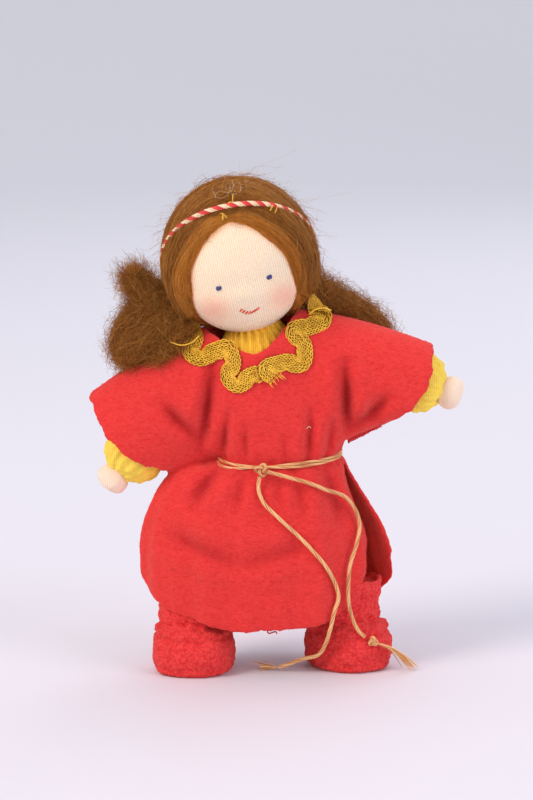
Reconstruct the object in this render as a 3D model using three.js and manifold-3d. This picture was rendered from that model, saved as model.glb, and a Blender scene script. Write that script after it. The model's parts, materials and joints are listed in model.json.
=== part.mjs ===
// Waldorf doll: a soft, bendable doll with a wool-stuffed head, body and limbs on a wire armature,
// dressed in a jersey suit, a felt tunic trimmed with wave braid, a cord belt and plush boots.
// Millimetres, +Z up. The doll faces -Y, and its own left side is +X.
// The origin is on the floor, under the middle of the doll.
import * as THREE from "three";
import { mergeVertices } from "three/addons/utils/BufferGeometryUtils.js";
import Module from "manifold-3d";

const wasm = await Module();
wasm.setup();

// Gaps and cloth
const gap = 0.3; // between pieces that touch
const swingGap = 0.6; // between a piece and the room that its neighbour swings through
const feltThickness = 1.3;
const jerseyThickness = 0.8;
const skinThickness = 0.7;
const plushThickness = 1.2;
const overrun = 4; // how far a cutting solid runs past what it cuts

// Stance
const waistHeight = 57;
const waistShift = 1.5; // the waist stands this far to the doll's left
const leanDegrees = 11; // the upper body leans to the doll's right

// Armature of wool-wrapped wire
const wireRadius = 0.9;
const wireBallRadius = 1.4; // of the looped end at each bending point
const spineFoot = 7; // the spine ends this far below the waist
const spineCross = 18.5; // the arms' wires leave the spine this far above the waist

// Torso, measured from the waist
const torsoHalfWidth = 15.3;
const torsoHalfDepth = 8.6;
const torsoTop = 28;
const torsoBottom = 19;
const collarRadius = 6.9;
const collarThickness = 0.9;
const collarFoot = 24.6;
const collarHeight = 6.4;
const collarPleats = 12;
const collarPleatDepth = 0.4;

// Neck and head, measured up from the waist
const neckPivotHeight = 26;
const neckRadius = 4.4;
const neckLength = 13;
const headHeight = 50; // of the head's centre
const headForward = 1.5;
const headHalfWidth = 15.5;
const headHalfDepth = 16;
const headHalfHeight = 16.5;

// Hair of wool fleece
const hairSide = 3.8;
const hairCrown = 5.4;
const hairBack = 2.6;
const hairDrop = 13; // the fleece ends this far below the head's centre
const faceRadius = 14;
const faceDrop = 2.6; // the face opening's centre lies this far below the head's centre
const bandRadius = 0.7;
const bandHeight = 10; // of the head band at the temples, above the head's centre
const bandSlopeShare = 0.42; // how steeply the band climbs to the front

// Face
const eyeReach = 6.6;
const eyeDrop = 3.1;
const eyeHalfWidth = 1.15;
const eyeHalfHeight = 0.9;
const eyeThickness = 0.35;
const mouthHalfWidth = 2.7;
const mouthDrop = 10.8;
const mouthSag = 1.1;
const mouthRadius = 0.32;

// Arms
const shoulderReach = 14; // from the body's middle to the shoulder's bending point
const shoulderHeight = 25;
const upperArmLength = 17.5;
const forearmLength = 17.3;
const armRadius = 4.4;
const armDepthShare = 0.86;
const handRadius = 4.4;
const handLength = 6; // beyond the sleeve's end
const handSeat = 3.6; // how far the hand reaches into the sleeve
const rightArmDrop = 39; // degrees below the leaning shoulder line
const leftArmDrop = 29;

// Legs
const hipReach = 9.6;
const hipDrop = 15; // the hips turn this far below the waist
const legRadius = 6.1;
const ankleHeight = 12;
const bootHalfWidth = 10.5;
const bootHalfLength = 11.4;
const footHeight = 9.4; // of the stuffing in the boot, under the leg
const bootHeight = 16.8;
const soleThickness = 1.6;
const rightBootReach = -20.3; // of the boots' middles, to the doll's left
const leftBootReach = 20.2;
const rightBootSetBack = -4.6;
const leftBootSetBack = 0.7;
const rightBootTurn = -8; // degrees, toes outward
const leftBootTurn = 38;
const ankleBack = 2.4; // the ankle stands this far behind the boot's middle

// Tunic of felt, measured in the leaning frame above the waist
const neckHalfOpening = 12.5;
const neckPointHeight = 36;
const neckDrop = 8;
const napeDrop = 4;
const foldCrown = 1.2; // how far the shoulder fold bows up between neck and tip
const tipReach = 45.2;
const rightTipHeight = 24.2;
const leftTipHeight = 20;
const footReach = 28.4;
const rightFootHeight = 0.4;
const leftFootHeight = 2.2;
const armpitReach = 18;
const rightArmpitHeight = 5.2;
const leftArmpitHeight = -0.4;
const hemBulge = 4.2;
const sleeveHalfDepth = 9.6;
const chestDepth = 12.2;
const backDepth = 12;
const skirtLength = 45;
const skirtHalfWidth = 29.85;
const skirtSway = 6.2; // the front panel hangs this far towards the doll's right
const backHalfWidth = 30.4;
const backSway = 0.4;
const bellyDepth = 16.2;
const seatDepth = 17.6;
const foldDepth = 0.9;
const foldCount = 6;
const slitHalfWidth = 1.3;
const slitTop = 5; // the side slits begin this far below the waist

// Braid, belt and cord tails
const braidWidth = 4.4;
const braidThickness = 0.9;
const braidWave = 11.4; // length of one wave
const braidSwing = 3.6; // how far the braid's middle swings to each side
const braidTurnShare = 0.22; // how far the braid's width turns with its path
const overhangDepth = 2.5; // a braid's edge doesn't follow cloth that falls away further than this
const cordRadius = 0.6;
const beltTurns = 2;
const beltPitch = 1.7;
const beltSag = 2; // the belt hangs this much lower at the front
const beltSeatTop = 2.6;
const beltSeatBottom = 4.6;
const knotRadius = 1.5;
const knotAside = 4; // the belt's knot sits this far to the doll's right
const knotTurnShare = 0.64;
const knotTurnDegrees = 38;
const tailKnotShare = 0.85;

// Counts of sides and steps
const limbSides = 12;
const capSteps = 3; // rows of a limb's round end
const torsoSides = 12;
const wireSides = 5;
const ballColumns = 6;
const ballRows = 4;
const slotMouthSteps = 6;
const slotFootSteps = 4;
const bootSides = 14;
const headColumns = 18;
const headRows = 12;
const coreColumns = 14;
const coreRows = 9;
const neckHoleSides = 14;
const faceSides = 28;
const eyeColumns = 10;
const eyeRows = 6;
const mouthSteps = 9;
const bandSteps = 28;
const stepsPerPleat = 2;
const tunicSides = 24;
const sleeveSides = 12;
const cordSides = 6;
const stepsPerTurn = 24;
const braidStepsPerWave = 10;
const tailSides = 8;
const rightTailSteps = 22;
const leftTailSteps = 20;
const knotTubeSides = 5;
const knotTurnSteps = 8;

const degrees = Math.PI / 180;
const up = new THREE.Vector3(0, 0, 1);
const back = new THREE.Vector3(0, 1, 0);
const side = new THREE.Vector3(1, 0, 0);
const mix = THREE.MathUtils.lerp;

// Materials, with the photographed colours
const cloth = (color, roughness = 0.95) =>
  new THREE.MeshStandardMaterial({ color, roughness, metalness: 0 });
const redFelt = cloth(0xe23a37);
const redPlush = cloth(0xd9302f);
const yellowJersey = cloth(0xf9c436);
const skinJersey = cloth(0xfbe0c4);
const brownFleece = cloth(0x8a5426);
const whiteWool = cloth(0xeee6d6);
const goldBraid = cloth(0xdfa52a, 0.6);
const silkCord = cloth(0xe08a56, 0.5);
const bandCord = cloth(0xd9494a, 0.8);
const blueThread = cloth(0x4b4a80, 0.7);
const redThread = cloth(0xe0503c, 0.7);
const wrappedWire = cloth(0xcfc6b4);

// A solid from a closed geometry, turned to face out if need be.
function solid(geometry) {
  const bare = new THREE.BufferGeometry();
  bare.setAttribute("position", geometry.getAttribute("position"));
  bare.setIndex(geometry.index);
  const merged = mergeVertices(bare, 1e-4);
  const vertProperties = new Float32Array(merged.attributes.position.array);
  const triVerts = new Uint32Array(merged.index.array);
  const made = new wasm.Manifold(new wasm.Mesh({ numProp: 3, vertProperties, triVerts }));
  if (made.volume() > 0) return made;
  for (let i = 0; i < triVerts.length; i += 3) {
    [triVerts[i + 1], triVerts[i + 2]] = [triVerts[i + 2], triVerts[i + 1]];
  }
  return new wasm.Manifold(new wasm.Mesh({ numProp: 3, vertProperties, triVerts }));
}

// A solid from points and faces of three or four corners.
function shell(points, faces) {
  const geometry = new THREE.BufferGeometry();
  const positions = points.flatMap((p) => [p.x, p.y, p.z]);
  const index = faces.flatMap((f) => (f.length === 4 ? [f[0], f[1], f[2], f[0], f[2], f[3]] : f));
  geometry.setAttribute("position", new THREE.Float32BufferAttribute(positions, 3));
  geometry.setIndex(index);
  return solid(geometry);
}

// The faces between neighbouring rings of points.
function band(ringCount, sides, joined) {
  const faces = [];
  for (let i = 0; i < (joined ? ringCount : ringCount - 1); i++) {
    const j = (i + 1) % ringCount;
    for (let k = 0; k < sides; k++) {
      const next = (k + 1) % sides;
      faces.push([i * sides + k, i * sides + next, j * sides + next, j * sides + k]);
    }
  }
  return faces;
}

// A solid through rings of points, with a pole at each end.
function loft(rings, startPole, endPole) {
  const sides = rings[0].length;
  const points = [...rings.flat(), startPole, endPole];
  const first = points.length - 2;
  const last = (rings.length - 1) * sides;
  const faces = band(rings.length, sides, false);
  for (let k = 0; k < sides; k++) {
    const next = (k + 1) % sides;
    faces.push([next, k, first], [last + k, last + next, first + 1]);
  }
  return shell(points, faces);
}

// A hoop through rings of points that joins up with itself.
const hoop = (rings) => shell(rings.flat(), band(rings.length, rings[0].length, true));

// One ring: a flattened circle about a centre, along two axes.
function ring(centre, across, through, halfWidth, halfDepth, sides) {
  return Array.from({ length: sides }, (_, k) => {
    const a = (2 * Math.PI * k) / sides;
    return centre
      .clone()
      .addScaledVector(across, halfWidth * Math.cos(a))
      .addScaledVector(through, halfDepth * Math.sin(a));
  });
}

// A stuffed limb from one bending point to the next: round about the first, and swelling by its shares.
function limb({ from, to, radius, depthShare = 1, shares, ...options }) {
  const { grow = 0, runOn = 0, stopShort = 0, roundEnd = false } = options;
  const along = to.clone().sub(from);
  const length = along.length() - stopShort;
  along.normalize();
  const through = back.clone().addScaledVector(along, -back.dot(along)).normalize();
  const across = new THREE.Vector3().crossVectors(through, along).normalize();
  const place = (distance) => from.clone().addScaledVector(along, distance);
  const width = radius + grow;
  const depth = radius * depthShare + grow;
  const steps = [];
  for (let k = 1; k < capSteps; k++) {
    const a = (Math.PI / 2) * (k / capSteps);
    steps.push([-width * Math.cos(a), Math.sin(a) * width, Math.sin(a) * mix(width, depth, k / capSteps)]);
  }
  for (const [at, size] of shares) {
    steps.push([length * at, radius * size + grow, radius * size * depthShare + grow]);
  }
  const [end, endWidth, endDepth] = steps.at(-1);
  let tip = end + runOn;
  if (roundEnd) {
    for (let k = capSteps - 1; k > 0; k--) {
      const a = (Math.PI / 2) * (k / capSteps);
      steps.push([end + endWidth * Math.cos(a), Math.sin(a) * endWidth, Math.sin(a) * endDepth]);
    }
    tip = end + endWidth;
  } else if (runOn) {
    steps.push([tip, endWidth, endDepth]);
  }
  const rings = steps.map(([at, w, d]) => ring(place(at), across, through, w, d, limbSides));
  return loft(rings, place(-width), place(tip));
}

// An ellipsoid.
function ellipsoid(centre, halfWidth, halfDepth, halfHeight, columns, rows) {
  const geometry = new THREE.SphereGeometry(1, columns, rows).rotateX(Math.PI / 2);
  geometry.scale(halfWidth, halfDepth, halfHeight).translate(centre.x, centre.y, centre.z);
  return solid(geometry);
}

// A small ball, such as a wire's looped end.
const ball = (centre, radius) => ellipsoid(centre, radius, radius, radius, ballColumns, ballRows);

// A straight round bar.
function bar(from, to, radius, sides) {
  const geometry = new THREE.CylinderGeometry(radius, radius, from.distanceTo(to), sides);
  const middle = from.clone().add(to).multiplyScalar(0.5);
  const turn = new THREE.Quaternion().setFromUnitVectors(back, to.clone().sub(from).normalize());
  return solid(geometry.applyQuaternion(turn).translate(middle.x, middle.y, middle.z));
}

// A cord along a route.
function cord(points, radius, sides, steps) {
  const curve = new THREE.CatmullRomCurve3(points, false, "centripetal");
  const section = new THREE.Shape();
  for (let k = 0; k < sides; k++) {
    const a = (2 * Math.PI * k) / sides;
    if (k) section.lineTo(radius * Math.cos(a), radius * Math.sin(a));
    else section.moveTo(radius, 0);
  }
  return solid(new THREE.ExtrudeGeometry(section, { steps, bevelEnabled: false, extrudePath: curve }));
}

// A flat outline, drawn along two axes and drawn out along the third.
function prism(outline, origin, first, second, third, from, to) {
  const shape = new THREE.Shape(outline.map(([a, b]) => new THREE.Vector2(a, b)));
  const geometry = new THREE.ExtrudeGeometry(shape, { depth: to - from, bevelEnabled: false });
  geometry.translate(0, 0, from);
  geometry.applyMatrix4(new THREE.Matrix4().makeBasis(first, second, third).setPosition(origin));
  return solid(geometry);
}

// The slot that a wire fixed to the carrier needs in a piece that turns about the wire's end.
function wireSlot(pivot, axis, wireDirection, low, high, reach) {
  const half = wireBallRadius + gap;
  const second = new THREE.Vector3().crossVectors(axis, wireDirection);
  const flare = Math.asin(half / reach);
  const from = -high * degrees;
  const to = -low * degrees;
  const outline = [];
  const arc = (start, end, radius, count) => {
    for (let k = 0; k <= count; k++) {
      const a = mix(start, end, k / count);
      outline.push([radius * Math.cos(a), radius * Math.sin(a)]);
    }
  };
  arc(from - flare, to + flare, reach, slotMouthSteps);
  arc(to + Math.PI / 2, from + (3 * Math.PI) / 2, half, slotFootSteps);
  return prism(outline, pivot, wireDirection, second, axis, -half, half);
}

// A piece turned about an axis through a pivot.
function turned(piece, pivot, axis, angle) {
  const matrix = new THREE.Matrix4()
    .makeTranslation(pivot.x, pivot.y, pivot.z)
    .multiply(new THREE.Matrix4().makeRotationAxis(axis, angle * degrees))
    .multiply(new THREE.Matrix4().makeTranslation(-pivot.x, -pivot.y, -pivot.z));
  return piece.transform(matrix.elements);
}

// The leaning frame of the upper body: across, back and up from the waist.
const waist = new THREE.Vector3(waistShift, 0, waistHeight);
const lean = (v, share = 1) => v.clone().applyAxisAngle(back, -leanDegrees * share * degrees);
const leaning = (x, y, z, share = 1) => lean(new THREE.Vector3(x, y, z), share).add(waist);
const leanUp = lean(up);
const leanSide = lean(side);

// Bending points, and how far each joint turns. Arms and legs come in mirrored pairs.
const neckPivot = leaning(0, 0, neckPivotHeight);
const nodLow = -10;
const nodHigh = 15;
const elbowHigh = 65;
const hipLow = -15;
const hipHigh = 85;
const kneeHigh = 55;
const bodySides = [
  {
    name: "right",
    sign: -1,
    drop: rightArmDrop,
    raiseLow: -12,
    raiseHigh: 55,
    tipHeight: rightTipHeight,
    footHeight: rightFootHeight,
    armpitHeight: rightArmpitHeight,
    bootReach: rightBootReach,
    bootSetBack: rightBootSetBack,
    bootTurn: rightBootTurn,
  },
  {
    name: "left",
    sign: 1,
    drop: leftArmDrop,
    raiseLow: -22,
    raiseHigh: 45,
    tipHeight: leftTipHeight,
    footHeight: leftFootHeight,
    armpitHeight: leftArmpitHeight,
    bootReach: leftBootReach,
    bootSetBack: leftBootSetBack,
    bootTurn: leftBootTurn,
  },
];
for (const s of bodySides) {
  s.shoulder = leaning(s.sign * shoulderReach, 0, shoulderHeight);
  const drop = s.drop * degrees;
  s.armDirection = lean(new THREE.Vector3(s.sign * Math.cos(drop), 0, -Math.sin(drop)));
  s.elbow = s.shoulder.clone().addScaledVector(s.armDirection, upperArmLength);
  s.wrist = s.elbow.clone().addScaledVector(s.armDirection, forearmLength);
  s.raiseAxis = back.clone().multiplyScalar(-s.sign);
  s.elbowAxis = new THREE.Vector3().crossVectors(s.armDirection, back.clone().negate()).normalize();
  s.hip = new THREE.Vector3(waistShift + s.sign * hipReach, 0, waistHeight - hipDrop);
  const toe = new THREE.Vector3(Math.sin(s.bootTurn * degrees), -Math.cos(s.bootTurn * degrees), 0);
  s.ankle = new THREE.Vector3(s.bootReach, s.bootSetBack, ankleHeight).addScaledVector(toe, -ankleBack);
  s.knee = s.hip.clone().lerp(s.ankle, 0.5);
  s.hipAxis = side.clone().negate();
  s.kneeAxis = new THREE.Vector3().crossVectors(s.ankle.clone().sub(s.knee), back).normalize();
}

// Shares of the limbs' length and radius, from one bending point to the next
const upperArmShares = [
  [0, 1],
  [0.5, 1.06],
  [1, 1],
];
const forearmShares = [
  [0, 1],
  [0.4, 1.32],
  [0.75, 1.48],
  [1, 1.12],
];
const thighShares = [
  [0, 1],
  [0.5, 1.03],
  [1, 1],
];
const shinShares = [
  [0, 1],
  [0.5, 1.02],
  [1, 1],
];
const handShares = [
  [0, 1],
  [1, 1.25],
];
const handStemShare = 0.8; // of the hand's radius: its stem is drawn in where the sleeve holds it
const neckWireShare = 0.72; // of the neck's length
const mouthShares = [-1, -0.6, -0.2, 0.2, 0.6, 1];
const upperTorsoShares = [
  [0.18, 0.99, 1.03],
  [0.38, 0.96, 1.04],
  [0.58, 0.88, 1],
  [0.76, 0.77, 0.92],
  [0.92, 0.58, 0.78],
];
const lowerTorsoShares = [
  [0.42, 0.97, 0.97],
  [0.62, 0.76, 0.86],
  [0.8, 0.46, 0.66],
  [0.94, 0.2, 0.36],
];
// The ruffle's section: outward share of its thickness, share of its height, share of the pleats' depth
const collarShares = [
  [0, 0, 0.3],
  [1, 0, 0.6],
  [1.3, 0.45, 1],
  [0.7, 1, 0.8],
  [-0.2, 1, 0.8],
];
// Paths of the hair bunches from the head's centre, each with its radius, as shares of the head's half width
const bunchDepthShare = 0.85;
const rightBunchShares = [
  [-1.05, 0.06, -0.36, 0.26],
  [-1.34, 0.06, -0.44, 0.36],
  [-1.68, 0.06, -0.56, 0.44],
  [-2.0, 0.06, -0.74, 0.42],
  [-2.24, 0.06, -0.96, 0.28],
  [-2.4, 0.06, -1.16],
];
const rightTuftShares = [
  [-1.15, 0, -0.2, 0.2],
  [-1.38, 0, -0.08, 0.23],
  [-1.62, 0, 0.16, 0.19],
  [-1.86, 0, 0.42],
];
const leftBunchShares = [
  [1.1, 0.22, -0.38, 0.22],
  [1.42, 0.74, -0.74, 0.31],
  [1.74, 1.12, -1.16, 0.33],
  [1.98, 1.16, -1.52, 0.24],
  [2.14, 1.16, -1.82],
];
// Tunic above the waist: shares of the neck point's height, the waist's width, the chest's and back's depth
const bodiceShares = [
  [0.3, 1.04, 1.02, 1.01],
  [0.58, 0.98, 1, 0.98],
  [0.78, 0.88, 0.98, 0.9],
  [0.9, 0.8, 0.88, 0.8],
  [0.97, 0.72, 0.66, 0.6],
];
// Tunic below the waist: shares of the skirt's length, its spread, its sway, its depth and its folds
const skirtShares = [
  [0.17, 0.48, 0.8, 0.42, 0.3],
  [0.3, 0.72, 1, 0.66, 0.5],
  [0.46, 0.95, 1, 0.9, 0.75],
  [0.7, 1.01, 0.99, 1.02, 1],
  [1, 0.96, 0.96, 0.98, 1],
];
const foldPhaseShare = 0.13;
const sleeveShares = [0, 0.2, 0.4, 0.7, 1];
const sleeveRootShare = 0.2;
const armpitShare = 0.4;
const foldSharpShare = 0.2; // how sharply the cloth is folded at the shoulder
const necklineShares = [
  [-0.5, 0.56],
  [-0.2, 0.9],
  [0, 1],
  [0.2, 0.9],
  [0.5, 0.56],
];
// Hems: shares of the panel's half width and of the skirt's length
const frontHemShares = [
  [-1.13, 0.5],
  [-1, 0.56],
  [-0.985, 0.7],
  [-0.93, 0.78],
  [-0.84, 0.85],
  [-0.72, 0.9],
  [-0.43, 0.95],
  [-0.17, 0.995],
  [0.14, 0.99],
  [0.42, 0.98],
  [0.62, 0.955],
  [0.8, 0.89],
  [0.91, 0.81],
  [0.98, 0.69],
  [1, 0.55],
  [1.13, 0.5],
];
const backHemShares = [
  [-1.13, 0.5],
  [-1, 0.58],
  [-0.97, 0.72],
  [-0.86, 0.84],
  [-0.6, 0.93],
  [-0.2, 0.97],
  [0.2, 0.97],
  [0.6, 0.93],
  [0.86, 0.86],
  [0.98, 0.78],
  [1.01, 0.72],
  [1, 0.6],
  [1.13, 0.5],
];
// Ends of the two braids, as shares of the neck opening's half width and of the neck point's height
const rightBraidShares = [
  [-1.25, 0.91],
  [0, 0.635],
];
const leftBraidShares = [
  [1.2, 0.87],
  [0.26, 0.57],
];
const inNeck = ([x, z]) => [x * neckHalfOpening, z * neckPointHeight];
const seatGap = gap * 2; // on cloth that curves under a flat ribbon
const beltStartShare = 0.06;
const beltLeanShare = 0.5; // the waist leans half as far as the chest
const chestShare = 0.4; // of the height, where the chest's full lean begins
const footWireShare = 0.14; // of the shin, left free above the ankle
const liftShares = [0.45, 0.6]; // of a braid's length, where it climbs over the other one
const coverGrow = gap + jerseyThickness;
const armOuter = armRadius + coverGrow;
const legOuter = legRadius + coverGrow;

// The stuffing, the cover and the wire of one length of a limb.
function limbPieces({ from, to, radius, depthShare, shares, ...bend }) {
  const { axis, low, high, wireDirection, nextRadius, wireEnd } = bend;
  const form = (options) => limb({ from, to, radius, depthShare, shares, ...options });
  const along = to.clone().sub(from).normalize();
  const slot = wireSlot(from, axis, wireDirection, low, high, radius + coverGrow + overrun);
  const wireStart = from.clone().addScaledVector(along, wireBallRadius + gap);
  const wireTip = wireEnd ?? to;
  const wireForm = (grow) =>
    bar(wireStart.clone().addScaledVector(along, -grow), wireTip, wireRadius + grow, wireSides).add(
      ball(wireTip, wireBallRadius + grow),
    );
  // Where another length bends about the far end, the stuffing and the cover stop short of its round end.
  const room = nextRadius ? nextRadius + swingGap : 0;
  const coverEnd = room && Math.sqrt(room ** 2 - (nextRadius - jerseyThickness) ** 2);
  const stuffing = form({ stopShort: room }).subtract(slot).subtract(wireForm(gap));
  const hollow = form({ grow: gap, runOn: overrun });
  const cover = form({ grow: coverGrow, stopShort: coverEnd }).subtract(hollow).subtract(slot);
  return { stuffing, cover, wire: wireForm(0) };
}

// Arms
for (const s of bodySides) {
  const wireDirection = leaning(0, 0, spineCross).sub(s.shoulder).normalize();
  s.upperArm = limbPieces({
    from: s.shoulder,
    to: s.elbow,
    radius: armRadius,
    depthShare: 1,
    shares: upperArmShares,
    axis: s.raiseAxis,
    low: s.raiseLow,
    high: s.raiseHigh,
    wireDirection,
    nextRadius: armOuter,
  });
  const wireEnd = s.wrist.clone().addScaledVector(s.armDirection, handLength / 2);
  s.forearm = limbPieces({
    from: s.elbow,
    to: s.wrist,
    radius: armRadius,
    depthShare: armDepthShare,
    shares: forearmShares,
    axis: s.elbowAxis,
    low: 0,
    high: elbowHigh,
    wireDirection: s.armDirection.clone().negate(),
    wireEnd,
  });
}

// A hand is a jersey ball with a stem that sits in the sleeve.
for (const s of bodySides) {
  const stemRadius = handRadius * handStemShare;
  const cuff = s.wrist.clone().addScaledVector(s.armDirection, stemRadius - handSeat);
  const palm = s.wrist.clone().addScaledVector(s.armDirection, handLength - handRadius);
  const wireTip = s.wrist.clone().addScaledVector(s.armDirection, handLength / 2);
  const boreStart = s.wrist.clone().addScaledVector(s.armDirection, -handRadius);
  const boreRadius = wireRadius + gap;
  const bore = bar(boreStart, wireTip, boreRadius, wireSides).add(ball(wireTip, wireBallRadius + gap));
  const handForm = { from: cuff, to: palm, radius: stemRadius, shares: handShares, roundEnd: true };
  s.hand = limb(handForm).subtract(bore);
  s.forearm.stuffing = s.forearm.stuffing.subtract(limb({ ...handForm, grow: gap }));
}

// Legs
for (const s of bodySides) {
  s.thigh = limbPieces({
    from: s.hip,
    to: s.knee,
    radius: legRadius,
    depthShare: 1,
    shares: thighShares,
    axis: s.hipAxis,
    low: hipLow,
    high: hipHigh,
    wireDirection: up,
    nextRadius: legOuter,
  });
  s.shin = limbPieces({
    from: s.knee,
    to: s.ankle,
    radius: legRadius,
    depthShare: 1,
    shares: shinShares,
    axis: s.kneeAxis,
    low: 0,
    high: kneeHigh,
    wireDirection: s.hip.clone().sub(s.knee).normalize(),
    wireEnd: s.ankle.clone().lerp(s.knee, footWireShare),
  });
}

// Boots: a round toe, a drawn-in ankle and a cuff around the leg, on a flat sole
// Each row: shares of the height, the half width and the half length, and the shift to the heel as a share
const bootShares = [
  [0, 0.86, 0.88, 0],
  [0.1, 0.96, 0.97, 0],
  [0.28, 1, 1, 0],
  [0.5, 0.98, 0.96, 0.02],
  [0.66, 0.92, 0.86, 0.08],
  [0.78, 0.86, 0.77, 0.16],
  [0.9, 0.85, 0.76, 0.21],
  [1, 0.84, 0.75, 0.21],
];
function bootRow(z) {
  const share = THREE.MathUtils.clamp(z / bootHeight, 0, 1);
  const i = Math.max(1, bootShares.findIndex(([height]) => height >= share));
  const [before, after] = [bootShares[i - 1], bootShares[i]];
  const t = (share - before[0]) / (after[0] - before[0]);
  return before.map((value, k) => mix(value, after[k], t));
}
function bootForm(inset, floor, top) {
  const heights = bootShares.map(([height]) => height * bootHeight).filter((z) => z > floor && z < top);
  const rings = [floor, ...heights, top].map((z) => {
    const [, width, length, shift] = bootRow(z);
    const [halfWidth, halfLength] = [bootHalfWidth * width - inset, bootHalfLength * length - inset];
    const centre = new THREE.Vector3(0, shift * bootHalfLength, z);
    return ring(centre, side, back, halfWidth, halfLength, bootSides);
  });
  const middle = (points) => points[0].clone().add(points[bootSides / 2]).multiplyScalar(0.5);
  return loft(rings, middle(rings[0]), middle(rings.at(-1)));
}
for (const s of bodySides) {
  const place = (piece) => {
    const matrix = new THREE.Matrix4()
      .makeTranslation(s.bootReach, s.bootSetBack, 0)
      .multiply(new THREE.Matrix4().makeRotationZ(s.bootTurn * degrees));
    return piece.transform(matrix.elements);
  };
  const outer = bootForm(0, 0, bootHeight);
  const inner = bootForm(plushThickness, soleThickness, ankleHeight);
  const filling = bootForm(plushThickness + gap, soleThickness + gap, footHeight);
  const leg = { from: s.knee, to: s.ankle, radius: legRadius, shares: shinShares };
  const room = limb({ ...leg, grow: coverGrow + gap, runOn: gap });
  s.boot = place(outer.subtract(inner)).subtract(room);
  s.footStuffing = place(filling).subtract(room);
}

// Neck: a column that nods about its foot and that the head turns on
const neckShares = [
  [0, 1],
  [0.5, 0.98],
  [1, 1],
];
const neckTop = leaning(0, 0, neckPivotHeight + neckLength);
const neckForm = (grow, runOn = 0) =>
  limb({ from: neckPivot, to: neckTop, radius: neckRadius, shares: neckShares, grow, runOn });
const neckWireTip = leaning(0, 0, neckPivotHeight + neckLength * neckWireShare);
const neckWireStart = leaning(0, 0, neckPivotHeight + wireBallRadius + gap);
const neckWire = bar(neckWireStart, neckWireTip, wireRadius, wireSides).add(
  ball(neckWireTip, wireBallRadius),
);
const leanDown = leanUp.clone().negate();
const neckSlot = wireSlot(neckPivot, leanSide, leanDown, nodLow, nodHigh, neckRadius + overrun);
const neckBore = bar(neckPivot, neckWireTip, wireRadius + gap, wireSides).add(
  ball(neckWireTip, wireBallRadius + gap),
);
const neckCore = neckForm(0).subtract(neckSlot).subtract(neckBore);

// Head: a wound wool ball in a jersey skin. Its pieces are laid out about its centre, then leaned.
const headCentre = leaning(0, -headForward, headHeight);
const inHead = (piece) => {
  const matrix = new THREE.Matrix4().makeRotationAxis(back, -leanDegrees * degrees).setPosition(headCentre);
  return piece.transform(matrix.elements);
};
const nowhere = new THREE.Vector3();
const headForm = (grow, columns, rows) =>
  ellipsoid(nowhere, headHalfWidth + grow, headHalfDepth + grow, headHalfHeight + grow, columns, rows);
const headOutside = (grow) => headForm(grow, headColumns, headRows);
const headInside = (grow) => headForm(grow, coreColumns, coreRows);
const neckHoleTop = neckPivotHeight + neckLength + gap - headHeight;
const neckHole = bar(
  new THREE.Vector3(0, headForward, -headHalfHeight - overrun),
  new THREE.Vector3(0, headForward, neckHoleTop),
  neckRadius + gap,
  neckHoleSides,
);
const skinOuter = gap + skinThickness;
const headCore = inHead(headInside(0).subtract(neckHole));
const headSkin = inHead(headOutside(skinOuter).subtract(headInside(gap)).subtract(neckHole));

// Fleece: a cap around the head, open at the face and under the chin
const hairInner = skinOuter + gap;
const hairHalfWidth = headHalfWidth + hairInner + hairSide;
const hairHalfDepth = headHalfDepth + hairInner + hairBack;
const hairHalfHeight = headHalfHeight + hairInner + hairCrown;
const hairHalves = [hairHalfWidth, hairHalfDepth, hairHalfHeight];
const hairForm = (grow) =>
  ellipsoid(nowhere, ...hairHalves.map((half) => half + grow), headColumns, headRows);
const faceOpening = bar(
  new THREE.Vector3(0, -hairHalfDepth - overrun, -faceDrop),
  new THREE.Vector3(0, 0, -faceDrop),
  faceRadius,
  faceSides,
);
const box = (from, to) => {
  const size = to.clone().sub(from);
  const middle = from.clone().add(to).multiplyScalar(0.5);
  return solid(new THREE.BoxGeometry(size.x, size.y, size.z).translate(middle.x, middle.y, middle.z));
};
const belowHair = box(
  new THREE.Vector3(-hairHalfWidth - overrun, -hairHalfDepth - overrun, -hairHalfHeight - overrun),
  new THREE.Vector3(hairHalfWidth + overrun, hairHalfDepth + overrun, -hairDrop),
);
const fleece = hairForm(0).subtract(headOutside(hairInner));
const hairCap = inHead(fleece.subtract(faceOpening).subtract(belowHair));

// A lock or a tassel: rings along a path, each with its own radius, ending in a point.
function tapered(rows, depthShare = 1) {
  const path = rows.slice(0, -1);
  const centres = path.map(([x, y, z]) => new THREE.Vector3(x, y, z));
  const end = new THREE.Vector3(...rows.at(-1));
  const rings = centres.map((c, i) => {
    const ahead = centres[i + 1] ?? end;
    const behind = centres[i - 1] ?? c;
    const along = ahead.clone().sub(behind).normalize();
    const through = back.clone().addScaledVector(along, -back.dot(along)).normalize();
    const across = new THREE.Vector3().crossVectors(through, along);
    return ring(c, across, through, path[i][3], path[i][3] * depthShare, limbSides);
  });
  return loft(rings, centres[0], end);
}
// Each row: a place on the lock's path from the head's centre and its radius, in shares of the half width
const inShares = (table) => table.map((row) => row.map((share) => share * headHalfWidth));
const rightMain = tapered(inShares(rightBunchShares), bunchDepthShare);
const rightUpper = tapered(inShares(rightTuftShares), bunchDepthShare);
const leftMain = tapered(inShares(leftBunchShares), bunchDepthShare);
const bunchRight = inHead(rightMain.add(rightUpper).subtract(hairForm(gap)));
const bunchLeft = inHead(leftMain.subtract(hairForm(gap)));

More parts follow.
